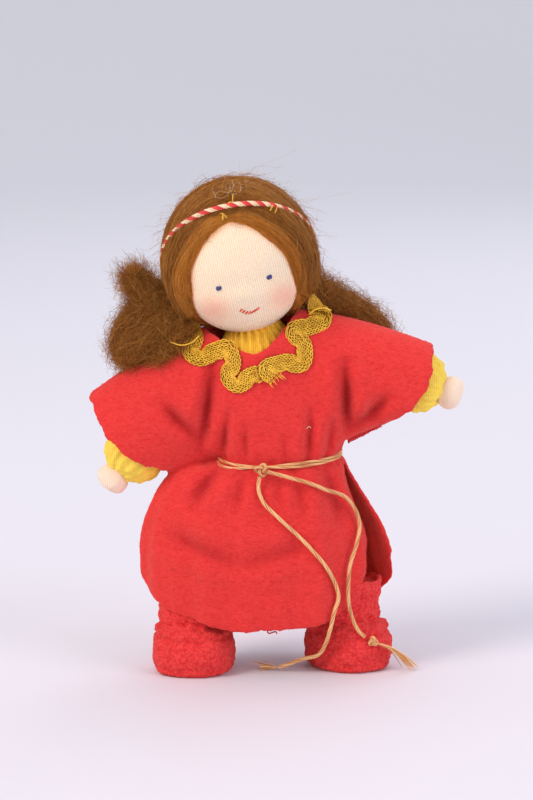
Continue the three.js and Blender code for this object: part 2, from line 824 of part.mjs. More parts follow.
// Head band: a cord hoop laid on the fleece in a plane that climbs to the front
const bandOut = gap + bandRadius;
const bandRings = Array.from({ length: bandSteps }, (_, i) => {
  const a = (2 * Math.PI * i) / bandSteps;
  const [c, d] = [Math.cos(a), Math.sin(a)];
  const w = hairHalfWidth + bandOut;
  const e = hairHalfDepth + bandOut;
  const h = hairHalfHeight + bandOut;
  const square = (c / w) ** 2 + (d / e) ** 2 + ((bandSlopeShare * d) / h) ** 2;
  const line = (-2 * bandHeight * bandSlopeShare * d) / (h * h);
  const rest = (bandHeight / h) ** 2 - 1;
  const r = (-line + Math.sqrt(line * line - 4 * square * rest)) / (2 * square);
  const centre = new THREE.Vector3(r * c, r * d, bandHeight - bandSlopeShare * r * d);
  const out = new THREE.Vector3(centre.x / (w * w), centre.y / (e * e), centre.z / (h * h)).normalize();
  const along = new THREE.Vector3(-d, c, -bandSlopeShare * c);
  along.addScaledVector(out, -along.dot(out)).normalize();
  return ring(centre, out, new THREE.Vector3().crossVectors(along, out), bandRadius, bandRadius, cordSides);
});
const headBand = inHead(hoop(bandRings));

// Face: stitched eyes and mouth, seated on the skin
function onFace(x, z, lift) {
  const [w, e, h] = [headHalfWidth + skinOuter, headHalfDepth + skinOuter, headHalfHeight + skinOuter];
  const place = new THREE.Vector3(x, -e * Math.sqrt(1 - (x / w) ** 2 - (z / h) ** 2), z);
  const out = new THREE.Vector3(place.x / (w * w), place.y / (e * e), place.z / (h * h)).normalize();
  return { place: place.addScaledVector(out, lift), out };
}
const eye = (sign) => {
  const { place, out } = onFace(sign * eyeReach, -eyeDrop, gap + eyeThickness);
  const round = new THREE.SphereGeometry(1, eyeColumns, eyeRows);
  const geometry = round.scale(eyeHalfWidth, eyeThickness, eyeHalfHeight);
  const turn = new THREE.Quaternion().setFromUnitVectors(back.clone().negate(), out);
  return inHead(solid(geometry.applyQuaternion(turn).translate(place.x, place.y, place.z)));
};
const mouthRoute = mouthShares.map((share) => {
  const z = -mouthDrop - mouthSag * (1 - share * share);
  return onFace(share * mouthHalfWidth, z, gap + mouthRadius).place;
});
const mouth = inHead(cord(mouthRoute, mouthRadius, cordSides, mouthSteps));

// How far the body leans: half as much at the belt, all of it at the chest and none at the hips
const leanAbove = (share) => mix(beltLeanShare, 1, Math.min(1, share / chestShare));
const leanBelow = (share) => mix(beltLeanShare, 0, Math.min(1, share / chestShare));

// Torso: stuffed, on a wire that runs from the neck to the shoulders and hips
const torsoRings = (grow) => {
  const rings = [];
  const add = (centre, leanShare, width, depth) => {
    const [halfWidth, halfDepth] = [torsoHalfWidth * width + grow, torsoHalfDepth * depth + grow];
    rings.push(ring(centre, lean(side, leanShare), back, halfWidth, halfDepth, torsoSides));
  };
  [...upperTorsoShares].reverse().forEach(([height, width, depth]) => {
    const share = leanAbove(height);
    add(leaning(0, 0, height * torsoTop, share), share, width, depth);
  });
  for (const height of [beltSeatTop, -beltSeatBottom]) {
    add(leaning(0, 0, height, beltLeanShare), beltLeanShare, 1, 1);
  }
  lowerTorsoShares.forEach(([height, width, depth]) => {
    const centre = new THREE.Vector3(waistShift, 0, waistHeight - height * torsoBottom);
    add(centre, leanBelow(height), width, depth);
  });
  return rings;
};
const torsoForm = (grow) =>
  loft(
    torsoRings(grow),
    leaning(0, 0, torsoTop + grow),
    new THREE.Vector3(waistShift, 0, waistHeight - torsoBottom - grow),
  );
const hipCorner = (s, out = 0) => new THREE.Vector3(s.hip.x + s.sign * out, 0, waistHeight - spineFoot);
const spineEnd = new THREE.Vector3(waistShift, 0, waistHeight - spineFoot);
const [rightSide, leftSide] = bodySides;
const torsoWireForm = (grow) => {
  const r = wireRadius + grow;
  const end = wireBallRadius + grow;
  let wire = bar(spineEnd, waist, r, wireSides)
    .add(bar(waist, neckPivot, r, wireSides))
    .add(bar(leaning(0, 0, spineCross), rightSide.shoulder, r, wireSides))
    .add(bar(leaning(0, 0, spineCross), leftSide.shoulder, r, wireSides))
    .add(bar(hipCorner(rightSide, r), hipCorner(leftSide, r), r, wireSides))
    .add(ball(neckPivot, end));
  for (const s of bodySides) {
    wire = wire.add(bar(hipCorner(s), s.hip, r, wireSides));
    wire = wire.add(ball(s.hip, end)).add(ball(s.shoulder, end));
  }
  return wire;
};
let torsoRoom = turned(neckForm(swingGap, overrun), neckPivot, leanSide, nodLow);
torsoRoom = torsoRoom.add(turned(neckForm(swingGap, overrun), neckPivot, leanSide, nodHigh));
for (const s of bodySides) {
  const grow = coverGrow + swingGap;
  const armRoom = limb({ from: s.shoulder, to: s.elbow, radius: armRadius, shares: upperArmShares, grow });
  const thighRoom = limb({ from: s.hip, to: s.knee, radius: legRadius, shares: thighShares, grow });
  torsoRoom = torsoRoom.add(turned(armRoom, s.shoulder, s.raiseAxis, s.raiseLow));
  torsoRoom = torsoRoom.add(turned(thighRoom, s.hip, s.hipAxis, hipHigh));
}
const torsoStuffing = torsoForm(0).subtract(torsoRoom).subtract(torsoWireForm(gap));
const suitBody = torsoForm(coverGrow).subtract(torsoForm(gap)).subtract(torsoRoom);

// The suit's collar: a gathered ruffle that stands on the suit around the neck
const collarSteps = collarPleats * stepsPerPleat;
const collarRings = Array.from({ length: collarSteps }, (_, i) => {
  const a = (2 * Math.PI * i) / collarSteps;
  const pleat = collarPleatDepth * Math.cos(collarPleats * a);
  const out = lean(new THREE.Vector3(Math.cos(a), Math.sin(a), 0));
  return collarShares.map(([reach, height, wave]) =>
    leaning(0, 0, collarFoot + height * collarHeight).addScaledVector(
      out,
      collarRadius + reach * collarThickness + wave * pleat,
    ),
  );
});
const suitCollar = hoop(collarRings).subtract(torsoForm(coverGrow + gap));

// Tunic: one piece of felt, folded over the shoulders, with a hole for the neck and seams under the arms.
// It is the outer form of the cloth less the inner one, opened at the neck, the hems and the side slits.
const tunicWaistHalfWidth = torsoHalfWidth + coverGrow + gap + feltThickness;
const tunicWaistDepth = torsoHalfDepth + coverGrow + gap + feltThickness;
function tunicRing({ centre, across, width, shift = 0, front, rear, fold = 0, ...behind }) {
  const { backWidth = width, backShift = shift } = behind;
  return Array.from({ length: tunicSides }, (_, k) => {
    const a = (2 * Math.PI * (k + 0.5)) / tunicSides;
    const [c, d] = [Math.cos(a), Math.sin(a)];
    const ahead = d < 0;
    const wave = fold * foldDepth * Math.cos(foldCount * 2 * (a + foldPhaseShare * Math.PI));
    return centre
      .clone()
      .addScaledVector(across, (ahead ? shift : backShift) + ((ahead ? width : backWidth) + wave) * c)
      .addScaledVector(back, ((ahead ? front : rear) + wave) * d);
  });
}
function tunicBody(inset, runOn) {
  const rings = [];
  [...bodiceShares].reverse().forEach(([height, width, front, rear]) => {
    const share = leanAbove(height);
    rings.push(
      tunicRing({
        centre: leaning(0, 0, height * neckPointHeight, share),
        across: lean(side, share),
        width: tunicWaistHalfWidth * width - inset,
        front: chestDepth * front - inset,
        rear: backDepth * rear - inset,
      }),
    );
  });
  for (const height of [beltSeatTop, -beltSeatBottom]) {
    rings.push(
      tunicRing({
        centre: leaning(0, 0, height, beltLeanShare),
        across: lean(side, beltLeanShare),
        width: tunicWaistHalfWidth - inset,
        front: tunicWaistDepth - inset,
        rear: tunicWaistDepth - inset,
      }),
    );
  }
  const rows = [...skirtShares];
  if (runOn) rows.push([1 + runOn / skirtLength, ...skirtShares.at(-1).slice(1)]);
  rows.forEach(([length, spread, sway, depth, fold]) => {
    rings.push(
      tunicRing({
        centre: new THREE.Vector3(waistShift, 0, waistHeight - length * skirtLength),
        across: lean(side, leanBelow(length)),
        width: mix(tunicWaistHalfWidth, skirtHalfWidth, spread) - inset,
        shift: -skirtSway * sway,
        backWidth: mix(tunicWaistHalfWidth, backHalfWidth, spread) - inset,
        backShift: -backSway * spread,
        front: mix(tunicWaistDepth, bellyDepth, depth) - inset,
        rear: mix(tunicWaistDepth, seatDepth, depth) - inset,
        fold,
      }),
    );
  });
  const hem = new THREE.Vector3(waistShift - skirtSway, 0, waistHeight - skirtLength - runOn);
  return loft(rings, leaning(0, 0, neckPointHeight - inset), hem);
}
// A sleeve: rings from inside the bodice to the hem, each from the shoulder fold down to the underarm.
function tunicSleeve(s, inset, runOn) {
  const at = (x, z) => leaning(s.sign * x, 0, z);
  const rings = [];
  const rows = runOn ? [...sleeveShares, sleeveShares.at(-1)] : sleeveShares;
  rows.forEach((t, i) => {
    const u = Math.max(0, (t - sleeveRootShare) / (1 - sleeveRootShare));
    const crown = foldCrown * 4 * u * (1 - u);
    const top = t
      ? at(mix(neckHalfOpening, tipReach, u), mix(neckPointHeight, s.tipHeight, u) + crown)
      : at(neckHalfOpening / 2, neckPointHeight);
    const v = Math.max(0, (t - armpitShare) / (1 - armpitShare));
    const bottom =
      t < armpitShare
        ? at(mix(neckHalfOpening / 2, armpitReach, t / armpitShare), s.armpitHeight)
        : at(mix(armpitReach, footReach, v), mix(s.armpitHeight, s.footHeight, v));
    const half = top.clone().sub(bottom).multiplyScalar(0.5);
    const out = new THREE.Vector3().crossVectors(back, half).multiplyScalar(s.sign).normalize();
    const centre = top.clone().add(bottom).multiplyScalar(0.5);
    if (i === sleeveShares.length) centre.addScaledVector(out, runOn);
    const reach = 1 - inset / half.length();
    rings.push(
      Array.from({ length: sleeveSides }, (_, k) => {
        const a = (2 * Math.PI * k) / sleeveSides;
        const swell = Math.sin(a) ** 2;
        const depth = (sleeveHalfDepth - inset) * mix(1, Math.abs(Math.sin(a)), foldSharpShare);
        return centre
          .clone()
          .addScaledVector(half, reach * Math.cos(a))
          .addScaledVector(back, depth * Math.sin(a))
          .addScaledVector(out, hemBulge * t * swell);
      }),
    );
  });
  const between = (points, quarters) => {
    const k = (quarters * sleeveSides) / 4;
    return points[k].clone().add(points[k + sleeveSides / 2]).multiplyScalar(0.5);
  };
  return loft(rings, between(rings[0], 0), between(rings.at(-1), 1));
}
const front = back.clone().negate();
const deep = chestDepth + overrun;
const neckline = (drop) => [
  [-neckHalfOpening, neckPointHeight + overrun],
  [-neckHalfOpening, neckPointHeight],
  ...necklineShares.map(([x, z]) => [x * neckHalfOpening, neckPointHeight - z * drop]),
  [neckHalfOpening, neckPointHeight],
  [neckHalfOpening, neckPointHeight + overrun],
];
const hemOutline = (centre, halfWidth, shares) => {
  const points = shares.map(([x, z]) => [centre + x * halfWidth, waistHeight - z * skirtLength]);
  const low = waistHeight - skirtLength - overrun * 2;
  const wide = halfWidth + overrun;
  return [...points, [centre + wide, low], [centre - wide, low]];
};
const rightTunicSleeve = tunicSleeve(rightSide, 0, 0);
const leftTunicSleeve = tunicSleeve(leftSide, 0, 0);
const tunicInner = tunicBody(feltThickness, overrun * 2)
  .add(tunicSleeve(rightSide, feltThickness, overrun))
  .add(tunicSleeve(leftSide, feltThickness, overrun));
const frontHem = hemOutline(waistShift - skirtSway, skirtHalfWidth, frontHemShares);
const backHem = hemOutline(waistShift - backSway, backHalfWidth, backHemShares);
const slits = box(
  new THREE.Vector3(-skirtHalfWidth * 2, -slitHalfWidth, waistHeight - skirtLength - overrun),
  new THREE.Vector3(skirtHalfWidth * 2, slitHalfWidth, waistHeight - slitTop),
);
const deepSkirt = bellyDepth + overrun;
const tunic = tunicBody(0, 0)
  .add(rightTunicSleeve)
  .add(leftTunicSleeve)
  .subtract(tunicInner)
  .subtract(prism(neckline(neckDrop), waist, leanSide, leanUp, front, 0, deep))
  .subtract(prism(neckline(napeDrop), waist, leanSide, leanUp, front, -deep, 0))
  .subtract(prism(frontHem, nowhere, side, up, front, 0, deepSkirt))
  .subtract(prism(backHem, nowhere, side, up, front, -deepSkirt, 0))
  .subtract(slits);

// A mesh from a solid, with its geometry laid out from the origin of the group that holds it.
function meshOf(name, piece, material, origin = nowhere) {
  const { vertProperties, triVerts } = piece.getMesh();
  const geometry = new THREE.BufferGeometry();
  geometry.setAttribute("position", new THREE.BufferAttribute(new Float32Array(vertProperties), 3));
  geometry.setIndex(new THREE.BufferAttribute(new Uint32Array(triVerts), 1));
  geometry.translate(-origin.x, -origin.y, -origin.z);
  geometry.computeVertexNormals();
  const mesh = new THREE.Mesh(geometry, material);
  mesh.name = name;
  return mesh;
}

// The cloth's surface as seen from the front: where a straight line going back first meets it.
const tunicMesh = meshOf("tunic", tunic, redFelt);
tunicMesh.material.side = THREE.DoubleSide;
function onTunic(x, z) {
  const from = new THREE.Vector3(x, -deepSkirt * 2, z);
  const [hit] = new THREE.Raycaster(from, back).intersectObject(tunicMesh);
  return hit?.point ?? null;
}

// Wave braid: a flat ribbon that swings from side to side down the neckline, sewn to the tunic's front
function braid(from, to, phase, lift) {
  const [start, end] = [leaning(from[0], 0, from[1]), leaning(to[0], 0, to[1])];
  const line = end.clone().sub(start);
  const length = line.length();
  line.normalize();
  const sideways = new THREE.Vector3().crossVectors(line, back);
  const wave = (2 * Math.PI) / braidWave;
  const steps = Math.round((length / braidWave) * braidStepsPerWave);
  const feet = [];
  for (let i = 0; i <= steps; i++) {
    const s = (length * i) / steps;
    const swing = braidSwing * Math.sin(wave * s + phase);
    const slope = braidSwing * wave * Math.cos(wave * s + phase);
    const middle = start.clone().addScaledVector(line, s).addScaledVector(sideways, swing);
    const across = sideways.clone().addScaledVector(line, -slope * braidTurnShare);
    const raise = seatGap + lift * THREE.MathUtils.smoothstep(s / length, ...liftShares);
    const foot = [-1, 0, 1].map((k) => middle.clone().addScaledVector(across, (k * braidWidth) / 2));
    const depths = foot.map(({ x, z }) => onTunic(x, z)?.y ?? 0);
    const nearest = Math.min(...depths);
    if (nearest >= 0) continue;
    // Where an edge overhangs the neckline, it carries on level with the cloth beside it.
    foot.forEach((place, k) => (place.y = depths[k] > nearest + overhangDepth ? nearest : depths[k]));
    feet.push({ foot, raise });
  }
  const rings = feet.map(({ foot, raise }, i) => {
    const before = feet[Math.max(i - 1, 0)].foot;
    const after = feet[Math.min(i + 1, feet.length - 1)].foot;
    const low = foot.map((place, k) => {
      const eased = (before[k].y + after[k].y + 2 * place.y) / 4;
      return place.clone().setY(Math.min(place.y, eased) - raise);
    });
    const high = low.map((place) => place.clone().addScaledVector(front, braidThickness));
    return [...low, ...high.reverse()];
  });
  const middleOf = (points) => points[1].clone().add(points[4]).multiplyScalar(0.5);
  return loft(rings, middleOf(rings[0]), middleOf(rings.at(-1)));
}
const braidRight = braid(inNeck(rightBraidShares[0]), inNeck(rightBraidShares[1]), 0, 0);
const overBraid = braidThickness + gap; // the left braid lies over the end of the right one
const braidLeft = braid(inNeck(leftBraidShares[0]), inNeck(leftBraidShares[1]), Math.PI, overBraid);

// Belt: a cord wound twice around the waist
const beltOut = gap + cordRadius;
const beltUp = lean(up, beltLeanShare);
const beltSide = lean(side, beltLeanShare);
const beltCount = beltTurns * stepsPerTurn;
const beltRoute = Array.from({ length: beltCount + 1 }, (_, i) => {
  const turns = (beltTurns * i) / beltCount;
  const a = 2 * Math.PI * turns - Math.PI / 2 + beltStartShare * Math.PI;
  const sag = beltSag * ((1 - Math.sin(a)) / 2) ** 2;
  return waist
    .clone()
    .addScaledVector(beltSide, (tunicWaistHalfWidth + beltOut) * Math.cos(a))
    .addScaledVector(back, (tunicWaistDepth + beltOut) * Math.sin(a))
    .addScaledVector(beltUp, beltPitch * (beltTurns / 2 - turns) - sag);
});
const belt = cord(beltRoute, cordRadius, cordSides, beltCount);
const beltGap = Math.min(
  ...beltRoute.flatMap((p, i) => beltRoute.slice(i + stepsPerTurn / 2).map((q) => p.distanceTo(q))),
);
console.log(`Belt: least gap between turns ${(beltGap - cordRadius * 2).toFixed(2)} mm`);

// A knot: the cord's crossing turns, drawn tight
function knot(centre, radius) {
  const turn = (angle) => {
    const tube = radius * (1 - knotTurnShare);
    const geometry = new THREE.TorusGeometry(radius * knotTurnShare, tube, knotTubeSides, knotTurnSteps);
    geometry.rotateX(angle * degrees).rotateZ(-angle * degrees);
    return solid(geometry.translate(centre.x, centre.y, centre.z));
  };
  return ball(centre, radius * knotTurnShare).add(turn(knotTurnDegrees)).add(turn(-knotTurnDegrees));
}
const beltFront = tunicWaistDepth + gap + cordRadius * 2 + gap + knotRadius;
const knotPlace = leaning(-knotAside, -beltFront, -beltSag, beltLeanShare);
const beltKnot = knot(knotPlace, knotRadius);

// The cord's two tails, from the knot down the skirt to the floor
const tailRoutes = {
  right: [
    [-3.1, -14.3, 52.9],
    [-3.4, -14.1, 49.9],
    [-2, -15.2, 46.3],
    [1.7, -16, 42.6],
    [6.5, -15.4, 38],
    [10.3, -15.2, 34.1],
    [14.2, -14.6, 29.2],
    [16.5, -12.7, 24.4],
    [17.3, -12.1, 20.8],
    [16.2, -13.4, 17.2],
    [15.2, -13, 12.7],
    [13.9, -11.4, 8.2],
    [12, -9.6, 5],
    [7.9, -8.6, 3.7],
    [4, -7.4, 1.9],
    [1.2, -6.4, 0.8],
  ],
  left: [
    [-1.1, -14.6, 54.3],
    [3.1, -14.2, 53.1],
    [9, -12.8, 51.2],
    [14.2, -11.5, 49],
    [19, -9, 46.7],
    [21.6, -7.6, 43.3],
    [22.8, -7.3, 39.1],
    [22.1, -8.7, 34.5],
    [20.4, -10.4, 29.4],
    [19.9, -10.8, 24.6],
    [19.9, -10.8, 20.2],
    [20.7, -10.2, 15.8],
    [22.4, -10, 11.8],
    [24.9, -9.8, 9.4],
  ],
};
const tailKnotPoint = [26.4, -9.6, 8.6];
const onRoute = (points) => points.map(([x, y, z]) => new THREE.Vector3(x, y, z));
const tail = (route, steps) => cord(onRoute(route), cordRadius, tailSides, steps);
const tailRight = tail(tailRoutes.right, rightTailSteps);
const tailLeft = tail(tailRoutes.left, leftTailSteps);
const tailKnot = knot(new THREE.Vector3(...tailKnotPoint), knotRadius * tailKnotShare);

// Their frayed ends: each row is a place and a radius
const tasselRoutes = {
  right: [
    [0.8, -6.25, 0.9, 0.6],
    [-0.6, -5.8, 1.05, 0.9],
    [-2.2, -5.4, 1, 0.85],
    [-2.8, -5.2, 0.9],
  ],
  left: [
    [27.9, -9.4, 7.9, 0.6],
    [30.4, -8.8, 6.9, 1],
    [33.2, -7.8, 4.7, 1.4],
    [35.4, -6.6, 2.2, 1.4],
    [36.4, -6.4, 0.9],
  ],
};
const tasselRight = tapered(tasselRoutes.right);
const tasselLeft = tapered(tasselRoutes.left);

// The doll: each body's pieces in a group that stands at the body's bending point
const doll = new THREE.Group();
const bodyGroup = (name, pivot, parent, parentPivot = nowhere) => {
  const group = new THREE.Group();
  group.name = `${name}_body`;
  group.position.copy(pivot).sub(parentPivot);
  parent.add(group);
  return (piece, label, material) => group.add(meshOf(label, piece, material, pivot)) && group;
};
const inTorso = bodyGroup("torso", nowhere, doll);
inTorso(torsoStuffing, "torso_stuffing", whiteWool);
inTorso(torsoWireForm(0), "torso_wire", wrappedWire);
inTorso(suitBody, "suit_body", yellowJersey);
inTorso(suitCollar, "suit_collar", yellowJersey);
inTorso(tunic, "tunic", redFelt);
inTorso(braidRight, "braid_right", goldBraid);
inTorso(braidLeft, "braid_left", goldBraid);
inTorso(beltKnot, "belt_knot", silkCord);
inTorso(tailRight, "belt_tail_right", silkCord);
inTorso(tailLeft, "belt_tail_left", silkCord);
inTorso(tailKnot, "tail_knot_left", silkCord);
inTorso(tasselRight, "tassel_right", silkCord);
inTorso(tasselLeft, "tassel_left", silkCord);
const torso = inTorso(belt, "belt", silkCord);
const inNeckBody = bodyGroup("neck", neckPivot, torso);
inNeckBody(neckWire, "neck_wire", wrappedWire);
const neck = inNeckBody(neckCore, "neck_core", skinJersey);
const inHeadBody = bodyGroup("head", neckTop, neck, neckPivot);
inHeadBody(headCore, "head_core", whiteWool);
inHeadBody(headSkin, "head_skin", skinJersey);
inHeadBody(hairCap, "hair_cap", brownFleece);
inHeadBody(bunchRight, "hair_bunch_right", brownFleece);
inHeadBody(bunchLeft, "hair_bunch_left", brownFleece);
inHeadBody(headBand, "head_band", bandCord);
inHeadBody(eye(-1), "eye_right", blueThread);
inHeadBody(eye(1), "eye_left", blueThread);
inHeadBody(mouth, "mouth", redThread);
for (const s of bodySides) {
  const inUpperArm = bodyGroup(`upper_arm_${s.name}`, s.shoulder, torso);
  inUpperArm(s.upperArm.stuffing, `upper_arm_stuffing_${s.name}`, whiteWool);
  inUpperArm(s.upperArm.wire, `upper_arm_wire_${s.name}`, wrappedWire);
  const upperArm = inUpperArm(s.upperArm.cover, `upper_sleeve_${s.name}`, yellowJersey);
  const inForearm = bodyGroup(`forearm_${s.name}`, s.elbow, upperArm, s.shoulder);
  inForearm(s.forearm.stuffing, `forearm_stuffing_${s.name}`, whiteWool);
  inForearm(s.forearm.wire, `forearm_wire_${s.name}`, wrappedWire);
  inForearm(s.forearm.cover, `lower_sleeve_${s.name}`, yellowJersey);
  inForearm(s.hand, `hand_${s.name}`, skinJersey);
  const inThigh = bodyGroup(`thigh_${s.name}`, s.hip, torso);
  inThigh(s.thigh.stuffing, `thigh_stuffing_${s.name}`, whiteWool);
  inThigh(s.thigh.wire, `thigh_wire_${s.name}`, wrappedWire);
  const thigh = inThigh(s.thigh.cover, `thigh_cover_${s.name}`, yellowJersey);
  const inShin = bodyGroup(`shin_${s.name}`, s.knee, thigh, s.hip);
  inShin(s.shin.stuffing, `shin_stuffing_${s.name}`, whiteWool);
  inShin(s.shin.wire, `shin_wire_${s.name}`, wrappedWire);
  inShin(s.shin.cover, `shin_cover_${s.name}`, yellowJersey);
  inShin(s.footStuffing, `foot_stuffing_${s.name}`, whiteWool);
  inShin(s.boot, `boot_${s.name}`, redPlush);
}

// Stand the doll with the middle of its box over the origin
const span = new THREE.Box3().setFromObject(doll);
const middle = span.getCenter(new THREE.Vector3());
doll.position.set(-middle.x, -middle.y, -span.min.z);

export default doll;
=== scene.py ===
import json
import math

import bmesh
import bpy
import numpy as np
from bpy.props import FloatProperty, IntProperty, PointerProperty
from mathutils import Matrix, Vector
from mathutils.bvhtree import BVHTree
from mathutils.kdtree import KDTree


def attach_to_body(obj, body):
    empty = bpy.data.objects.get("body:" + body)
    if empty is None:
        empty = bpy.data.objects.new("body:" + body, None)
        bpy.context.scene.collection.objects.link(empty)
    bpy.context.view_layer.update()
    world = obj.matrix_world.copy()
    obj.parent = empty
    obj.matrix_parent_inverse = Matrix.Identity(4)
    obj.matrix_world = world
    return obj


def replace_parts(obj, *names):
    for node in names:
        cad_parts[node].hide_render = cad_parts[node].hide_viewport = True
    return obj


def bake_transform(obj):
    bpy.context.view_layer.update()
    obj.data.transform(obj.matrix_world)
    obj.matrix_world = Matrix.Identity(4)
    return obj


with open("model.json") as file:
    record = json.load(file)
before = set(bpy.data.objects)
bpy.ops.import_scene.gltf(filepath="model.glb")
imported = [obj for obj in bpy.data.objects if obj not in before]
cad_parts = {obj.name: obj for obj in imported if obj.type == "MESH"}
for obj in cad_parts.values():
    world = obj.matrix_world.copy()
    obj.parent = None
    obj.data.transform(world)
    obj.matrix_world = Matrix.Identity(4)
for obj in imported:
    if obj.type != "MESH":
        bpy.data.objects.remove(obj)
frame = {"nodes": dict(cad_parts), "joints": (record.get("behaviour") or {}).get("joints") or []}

bl_info = {
    "name": "Waldorf doll",
    "version": (1, 0, 0),
    "blender": (4, 5, 0),
    "location": "View3D > Sidebar > Doll",
    "description": "Builds the look of a small waldorf doll around its packed frame",
    "category": "Object",
}

# Places are in millimetres from the doll's own origin; metres are made where a mesh is.
MM = 0.001
JOINTS = {joint["name"]: joint for joint in frame["joints"]}
UP = np.array(JOINTS["neck_turn"]["axis"], float)
SIDE = np.array(JOINTS["neck_nod"]["axis"], float)
BACK = np.array([0.0, 1.0, 0.0])
WAIST = np.array([1.5, 0.0, 57.0])
NECK_JOINT = 26  # from the waist up to the joint that nods, along the leaning axis
SHIFT = np.array(JOINTS["neck_nod"]["pos_m"], float) / MM - NECK_JOINT * UP - WAIST
LEAN = math.atan2(SIDE[2], SIDE[0])
HEAD = (0.0, -1.5, 50.0)  # the head's centre, from the waist along the leaning axes
HEAD_HALF = (16.5, 17.0, 17.5)
HAIR_HALF = (19.3, 19.3, 22.3)
SIDES = {"right": -1, "left": 1}


# Numbers and curves

def smooth(t):
    t = np.clip(t, 0, 1)
    return t * t * (3 - 2 * t)


def mix(a, b, t):
    return a + (b - a) * t


def leaning(x, y, z, share=1.0):
    """A place measured from the waist along axes that lean by that share of the doll's lean."""
    c, s = np.cos(LEAN * share), np.sin(LEAN * share)
    x, y, z = np.broadcast_arrays(np.asarray(x, float), np.asarray(y, float), np.asarray(z, float))
    return np.stack([x * c - z * s, y, x * s + z * c], -1) + WAIST


def on_head(x, y, z):
    return leaning(np.add(x, HEAD[0]), np.add(y, HEAD[1]), np.add(z, HEAD[2]))


def joint_place(name):
    return np.array(JOINTS[name]["pos_m"], float) / MM - SHIFT


def unit(v):
    return v / np.maximum(np.linalg.norm(v, axis=-1, keepdims=True), 1e-9)


def bell(away, width):
    """A smooth bump: 1 where away is 0, and mostly gone at twice the width."""
    return np.exp(-((away / width) ** 2))


def circle(count):
    """Angles evenly spaced round a circle."""
    return 2 * np.pi * np.arange(count) / count


def run_along(line):
    """How far along a line each of its points lies."""
    return np.concatenate([[0], np.cumsum(np.linalg.norm(np.diff(line, axis=0), axis=1))])


def sampled(at, run, rows):
    """Rows of numbers known at the places run, read off at other places."""
    return np.stack([np.interp(at, run, rows[:, k]) for k in range(rows.shape[1])], -1)


def averaged(values, reach):
    """Each value's mean with its neighbours, reach of them on either side."""
    window = 2 * reach + 1
    return np.convolve(np.pad(values, reach, mode="edge"), np.ones(window) / window, "valid")


def eased(before, a, b, after, u):
    """A smooth way from a to b as u goes from 0 to 1 (Catmull-Rom)."""
    square = 2 * before - 5 * a + 4 * b - after
    cube = 3 * a - before - 3 * b + after
    return 0.5 * (2 * a + (b - before) * u + square * u**2 + cube * u**3)


def spline(points, count):
    """A smooth curve through points (centripetal Catmull-Rom), evenly spaced along its length."""
    p = np.asarray(points, float)
    first = 2 * p[0] - p[1]
    last = 2 * p[-1] - p[-2]
    p = np.vstack([first, p, last])
    knots = np.concatenate([[0], np.cumsum(np.sqrt(np.linalg.norm(np.diff(p[:, :3], axis=0), axis=1)))])
    out = []
    for i in range(1, len(p) - 2):
        t0, t1, t2, t3 = knots[i - 1 : i + 3]
        t = np.linspace(t1, t2, 24, endpoint=False)[:, None]
        a1 = (t1 - t) / (t1 - t0) * p[i - 1] + (t - t0) / (t1 - t0) * p[i]
        a2 = (t2 - t) / (t2 - t1) * p[i] + (t - t1) / (t2 - t1) * p[i + 1]
        a3 = (t3 - t) / (t3 - t2) * p[i + 1] + (t - t2) / (t3 - t2) * p[i + 2]
        b1 = (t2 - t) / (t2 - t0) * a1 + (t - t0) / (t2 - t0) * a2
        b2 = (t3 - t) / (t3 - t1) * a2 + (t - t1) / (t3 - t1) * a3
        out.append((t2 - t) / (t2 - t1) * b1 + (t - t1) / (t2 - t1) * b2)
    dense = np.vstack(out + [p[-2:-1]])
    run = run_along(dense[:, :3])
    return sampled(np.linspace(0, run[-1], count), run, dense)


def upsample(rows, steps):
    """Rows of numbers, with smooth rows put in between."""
    p = np.asarray(rows, float)
    p = np.vstack([2 * p[0] - p[1], p, 2 * p[-1] - p[-2]])
    out = []
    for i in range(1, len(p) - 2):
        t = np.linspace(0, 1, steps, endpoint=False)[:, None]
        out.append(eased(*p[i - 1 : i + 3], t))
    return np.vstack(out + [p[-2:-1]])


def ripple(p, seed, size, octaves=3):
    """Smooth seeded noise at places p, about -1 to 1, with waves about size across."""
    r = np.random.default_rng(seed)
    total = np.zeros(p.shape[:-1])
    for octave in range(octaves):
        wave = 2 * np.pi / size * 1.9**octave
        for _ in range(4):
            direction = unit(r.normal(size=3))
            bend = unit(r.normal(size=3))
            warp = np.sin(p @ bend * wave * 0.7 + r.uniform(0, 6.3))
            total += np.sin(p @ direction * wave + r.uniform(0, 6.3) + 1.3 * warp) * 0.6**octave
    return total / 4


def ripples(p, seed, size):
    """Seeded noise in three directions at once."""
    return np.stack([ripple(p, seed + k, size, 2) for k in range(3)], -1)


# Meshes

